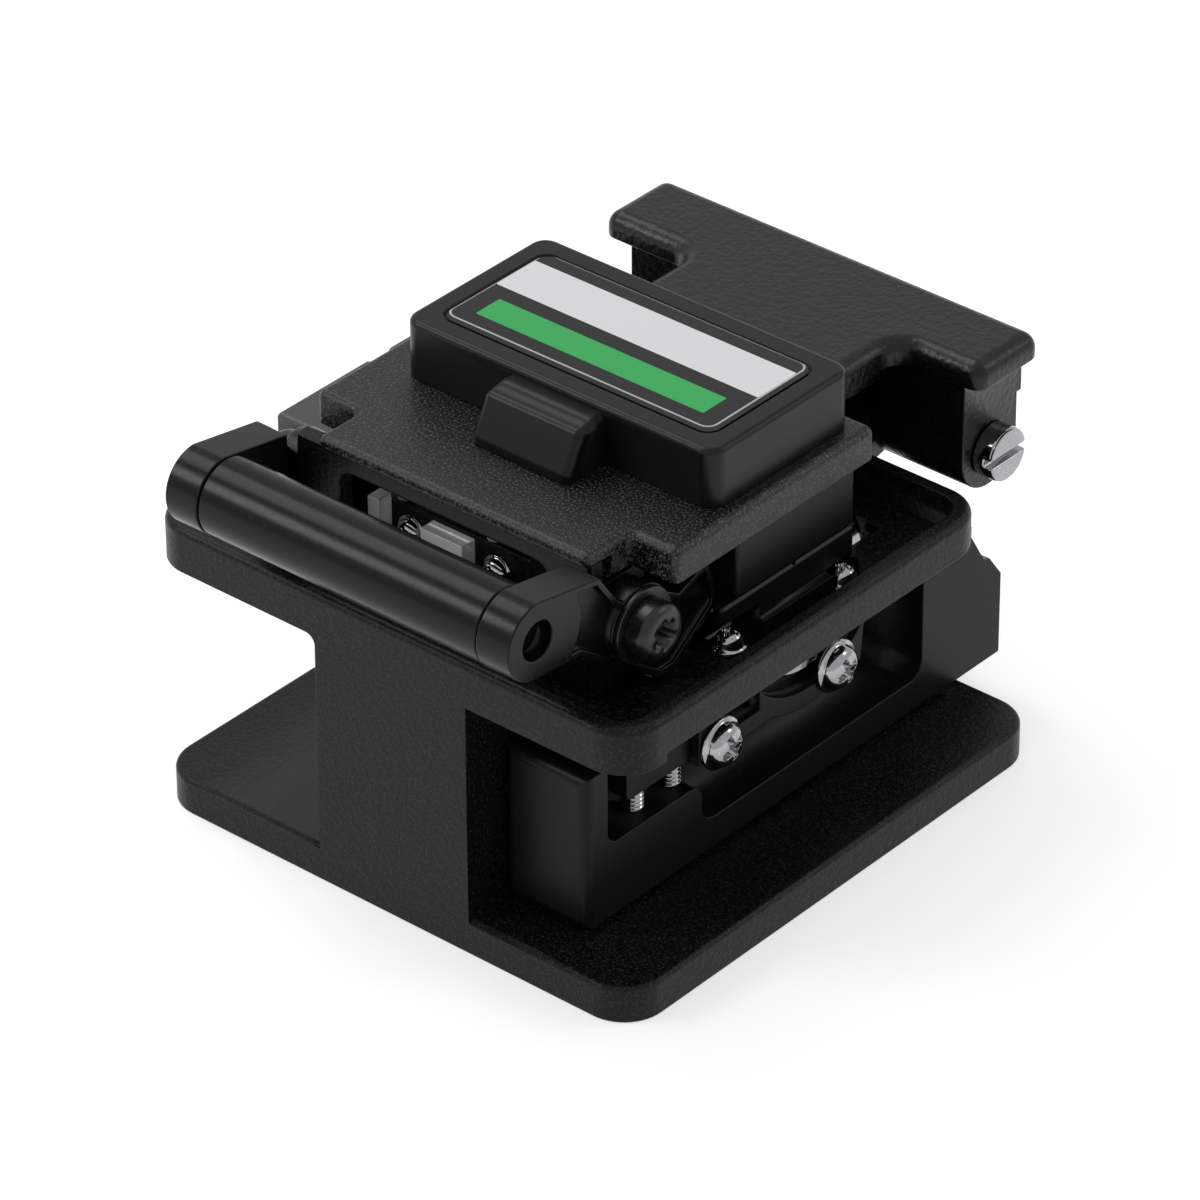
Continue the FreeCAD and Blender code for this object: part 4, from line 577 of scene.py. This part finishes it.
gloss_black = grained("gloss_black", dark=0.0025, light=0.005, grain=2500, pebble=500,
                      share=0.3, rough=(0.2, 0.26), bump=0.000002, gloss=0.2)
ease(gloss_black, BAIL_EDGE, "left_arm", "right_arm", "bail_bar")
black_oxide = grained("black_oxide", dark=0.005, light=0.010, grain=3000, pebble=600,
                      share=0.2, rough=(0.24, 0.34), bump=0.000002, gloss=0.45)
screws("bail_pivot_screws", black_oxide, star_head, rise=0.0028, axis=ACROSS)
ease(black_oxide, WASHER_EDGE, "bail_washers")
finish(black_oxide, "bail_springs")
blackened = grained("blackened_screws", dark=0.002, light=0.004, grain=3000, pebble=600,
                    share=0.2, rough=(0.5, 0.6), bump=0.000002, gloss=0.1)
finish(blackened, "bar_screws")


# ---- The label block ------------------------------------------------------------------
# A satin moulded cover with a printed plate let into its top: dark, with a pale band, a
# plain green stripe and a thin pale border.

COVER_EDGE = 0.00015
LABEL_X = 0.0045
LABEL_Y = 0.0004
LABEL_HALF_WIDTH = 0.0181
LABEL_HALF_DEPTH = 0.0082
LABEL_CORNER = 0.0014
BORDER = 0.00025
PRINT_CORNER = 0.0002
BAND_Y = 0.0034
BAND_HALF_DEPTH = 0.00315
STRIPE_Y = -0.0038
STRIPE_HALF_WIDTH = 0.0155
STRIPE_HALF_DEPTH = 0.0019
SILVER_INK = (0.45, 0.45, 0.46, 1)
PLATE_BLACK = (0.012, 0.012, 0.0125, 1)
PALE_INK = (0.76, 0.76, 0.78, 1)
GREEN_INK = (0.035, 0.42, 0.10, 1)

moulded = grained("moulded_cover", dark=0.003, light=0.008, grain=7000, pebble=900, share=0.3,
                  rough=(0.3, 0.38), bump=0.000006, gloss=0.26)
ease(moulded, COVER_EDGE, "label_cover")


def make_printed_box():
    """1 inside a rounded box in the label's plane, 0 outside."""
    group, given, result = new_group(
        "printed_box",
        [("Centre X", "NodeSocketFloat", 0.0), ("Centre Y", "NodeSocketFloat", 0.0),
         ("Half Width", "NodeSocketFloat", 0.01), ("Half Depth", "NodeSocketFloat", 0.01),
         ("Corner", "NodeSocketFloat", 0.001)],
        [("Mask", "NodeSocketFloat")])
    place = add(group, "SeparateXYZ", {0: add(group, "TexCoord").outputs["Object"]})

    def figure(operation, first, second=0.0):
        """The result of one Math node."""
        return add(group, "Math", {0: first, 1: second}, operation=operation).outputs[0]

    squares = []
    corner = given.outputs["Corner"]
    for axis, centre, half in (("X", "Centre X", "Half Width"), ("Y", "Centre Y", "Half Depth")):
        shift = figure("SUBTRACT", place.outputs[axis], given.outputs[centre])
        core = figure("SUBTRACT", given.outputs[half], corner)
        past_core = figure("SUBTRACT", figure("ABSOLUTE", shift), core)
        squares.append(figure("POWER", figure("MAXIMUM", past_core, 0.0), 2.0))
    distance = figure("SQRT", figure("ADD", *squares))
    group.links.new(figure("LESS_THAN", distance, corner), result.inputs["Mask"])
    return group


printed_box = make_printed_box()
prints = (
    # colour, centre x, centre y, half width, half depth, corner
    (SILVER_INK, LABEL_X, LABEL_Y, LABEL_HALF_WIDTH, LABEL_HALF_DEPTH, LABEL_CORNER),
    (PLATE_BLACK, LABEL_X, LABEL_Y, LABEL_HALF_WIDTH - BORDER, LABEL_HALF_DEPTH - BORDER,
     LABEL_CORNER - BORDER),
    (PALE_INK, LABEL_X, BAND_Y, LABEL_HALF_WIDTH - BORDER, BAND_HALF_DEPTH, PRINT_CORNER),
    (GREEN_INK, LABEL_X, STRIPE_Y, STRIPE_HALF_WIDTH, STRIPE_HALF_DEPTH, PRINT_CORNER),
)
label_print = grained("label_print", dark=0.010, light=0.012, grain=5000, pebble=700,
                      share=0.3, rough=(0.3, 0.36), bump=0.000002, gloss=0.25)
print_tree = label_print.node_tree
print_shader = print_tree.nodes["Principled BSDF"]
surface = print_shader.inputs["Base Color"].links[0].from_socket
for colour, *sizes in prints:
    shape = print_tree.nodes.new("ShaderNodeGroup")
    shape.node_tree = printed_box
    for socket, value in zip(shape.inputs, sizes):
        socket.default_value = value
    surface = mixed(print_tree, shape.outputs["Mask"], surface, colour)
print_tree.links.new(surface, print_shader.inputs["Base Color"])
finish(label_print, "label_plate")


# ---- The floor ------------------------------------------------------------------------
# A plain white sheet.  Seen by the camera or in a polished face it is white; the lamps'
# light on it keeps the soft shadow under the foot.

FLOOR_REACH = 4.0
FLOOR_DROP = 0.00005
PAPER_GREY = 0.8
PAPER_LIFT = 0.50

sheet_mesh = bpy.data.meshes.new("floor")
sheet_mesh.from_pydata([(-FLOOR_REACH, -FLOOR_REACH, 0), (FLOOR_REACH, -FLOOR_REACH, 0),
                        (FLOOR_REACH, FLOOR_REACH, 0), (-FLOOR_REACH, FLOOR_REACH, 0)],
                       [], [(0, 1, 2, 3)])
floor = bpy.data.objects.new("floor", sheet_mesh)
bpy.context.scene.collection.objects.link(floor)
floor.location.z = -FLOOR_DROP
paper = bpy.data.materials.new("floor_paper")
paper.use_nodes = True
paper_tree = paper.node_tree
paper_shader = paper_tree.nodes["Principled BSDF"]
paper_shader.inputs["Base Color"].default_value = (PAPER_GREY, PAPER_GREY, PAPER_GREY, 1)
paper_shader.inputs["Roughness"].default_value = 0.9
paper_shader.inputs["Specular IOR Level"].default_value = 0.0
paper_shader.inputs["Emission Color"].default_value = (1, 1, 1, 1)
paths = add(paper_tree, "LightPath")
seen = add(paper_tree, "Math", {0: paths.outputs["Is Camera Ray"],
                                1: paths.outputs["Is Glossy Ray"]}, operation="MAXIMUM")
lift = add(paper_tree, "Math", {0: seen.outputs[0], 1: PAPER_LIFT}, operation="MULTIPLY")
paper_tree.links.new(lift.outputs[0], paper_shader.inputs["Emission Strength"])
sheet_mesh.materials.append(paper)


# ---- Light ----------------------------------------------------------------------------
# A white tent, a little dimmer in what it lights than where it is seen, and soft boxes
# whose reflections run along the rounded edges.

TENT_LIGHT = 0.6
TENT_GLOSS = 0.75
TENT_SEEN = 1.0
AIM = Vector((0, 0, 0.03))

world = bpy.data.worlds.new("tent")
bpy.context.scene.world = world
world.use_nodes = True
tent = world.node_tree
back = tent.nodes["Background"]
back.inputs["Color"].default_value = (1, 1, 1, 1)
paths = add(tent, "LightPath")
glossy = add(tent, "MapRange", {"Value": paths.outputs["Is Glossy Ray"],
                                "To Min": TENT_LIGHT, "To Max": TENT_GLOSS})
strength = add(tent, "MapRange", {"Value": paths.outputs["Is Camera Ray"],
                                  "To Min": glossy.outputs["Result"], "To Max": TENT_SEEN})
tent.links.new(strength.outputs["Result"], back.inputs["Strength"])


def soft_box(name, place, size, power):
    """A square area lamp that faces the tool."""
    lamp = bpy.data.lights.new(name, "AREA")
    lamp.shape = "SQUARE"
    lamp.size = size
    lamp.energy = power
    box = bpy.data.objects.new(name, lamp)
    bpy.context.scene.collection.objects.link(box)
    box.location = place
    box.rotation_euler = (AIM - box.location).to_track_quat("-Z", "Y").to_euler()


soft_box("key_box", place=(-0.50, -0.50, 0.50), size=0.25, power=1.2)
soft_box("top_box", place=(-0.45, 0.00, 0.75), size=0.4, power=1.4)
soft_box("side_box", place=(0.55, 0.55, 0.50), size=0.25, power=0.5)


# ---- Camera ---------------------------------------------------------------------------
# A long lens from the front right, about a third of the way up.

CAMERA_PLACE = (0.41812, -0.48470, 0.43916)
CAMERA_TURN = 40.711
CAMERA_DIP = 33.037
CAMERA_ROLL = -0.306
LENS = 214.33
SENSOR = 36.0

camera = bpy.data.objects.new("camera", bpy.data.cameras.new("camera"))
bpy.context.scene.collection.objects.link(camera)
camera.data.sensor_width = SENSOR
camera.data.lens = LENS
camera.matrix_world = (Matrix.Translation(CAMERA_PLACE)
                       @ Matrix.Rotation(math.radians(CAMERA_TURN), 4, "Z")
                       @ Matrix.Rotation(math.radians(90 - CAMERA_DIP), 4, "X")
                       @ Matrix.Rotation(math.radians(CAMERA_ROLL), 4, "Z"))
bpy.context.scene.camera = camera
bpy.context.scene.view_settings.view_transform = "Standard"

bpy.context.view_layer.update()
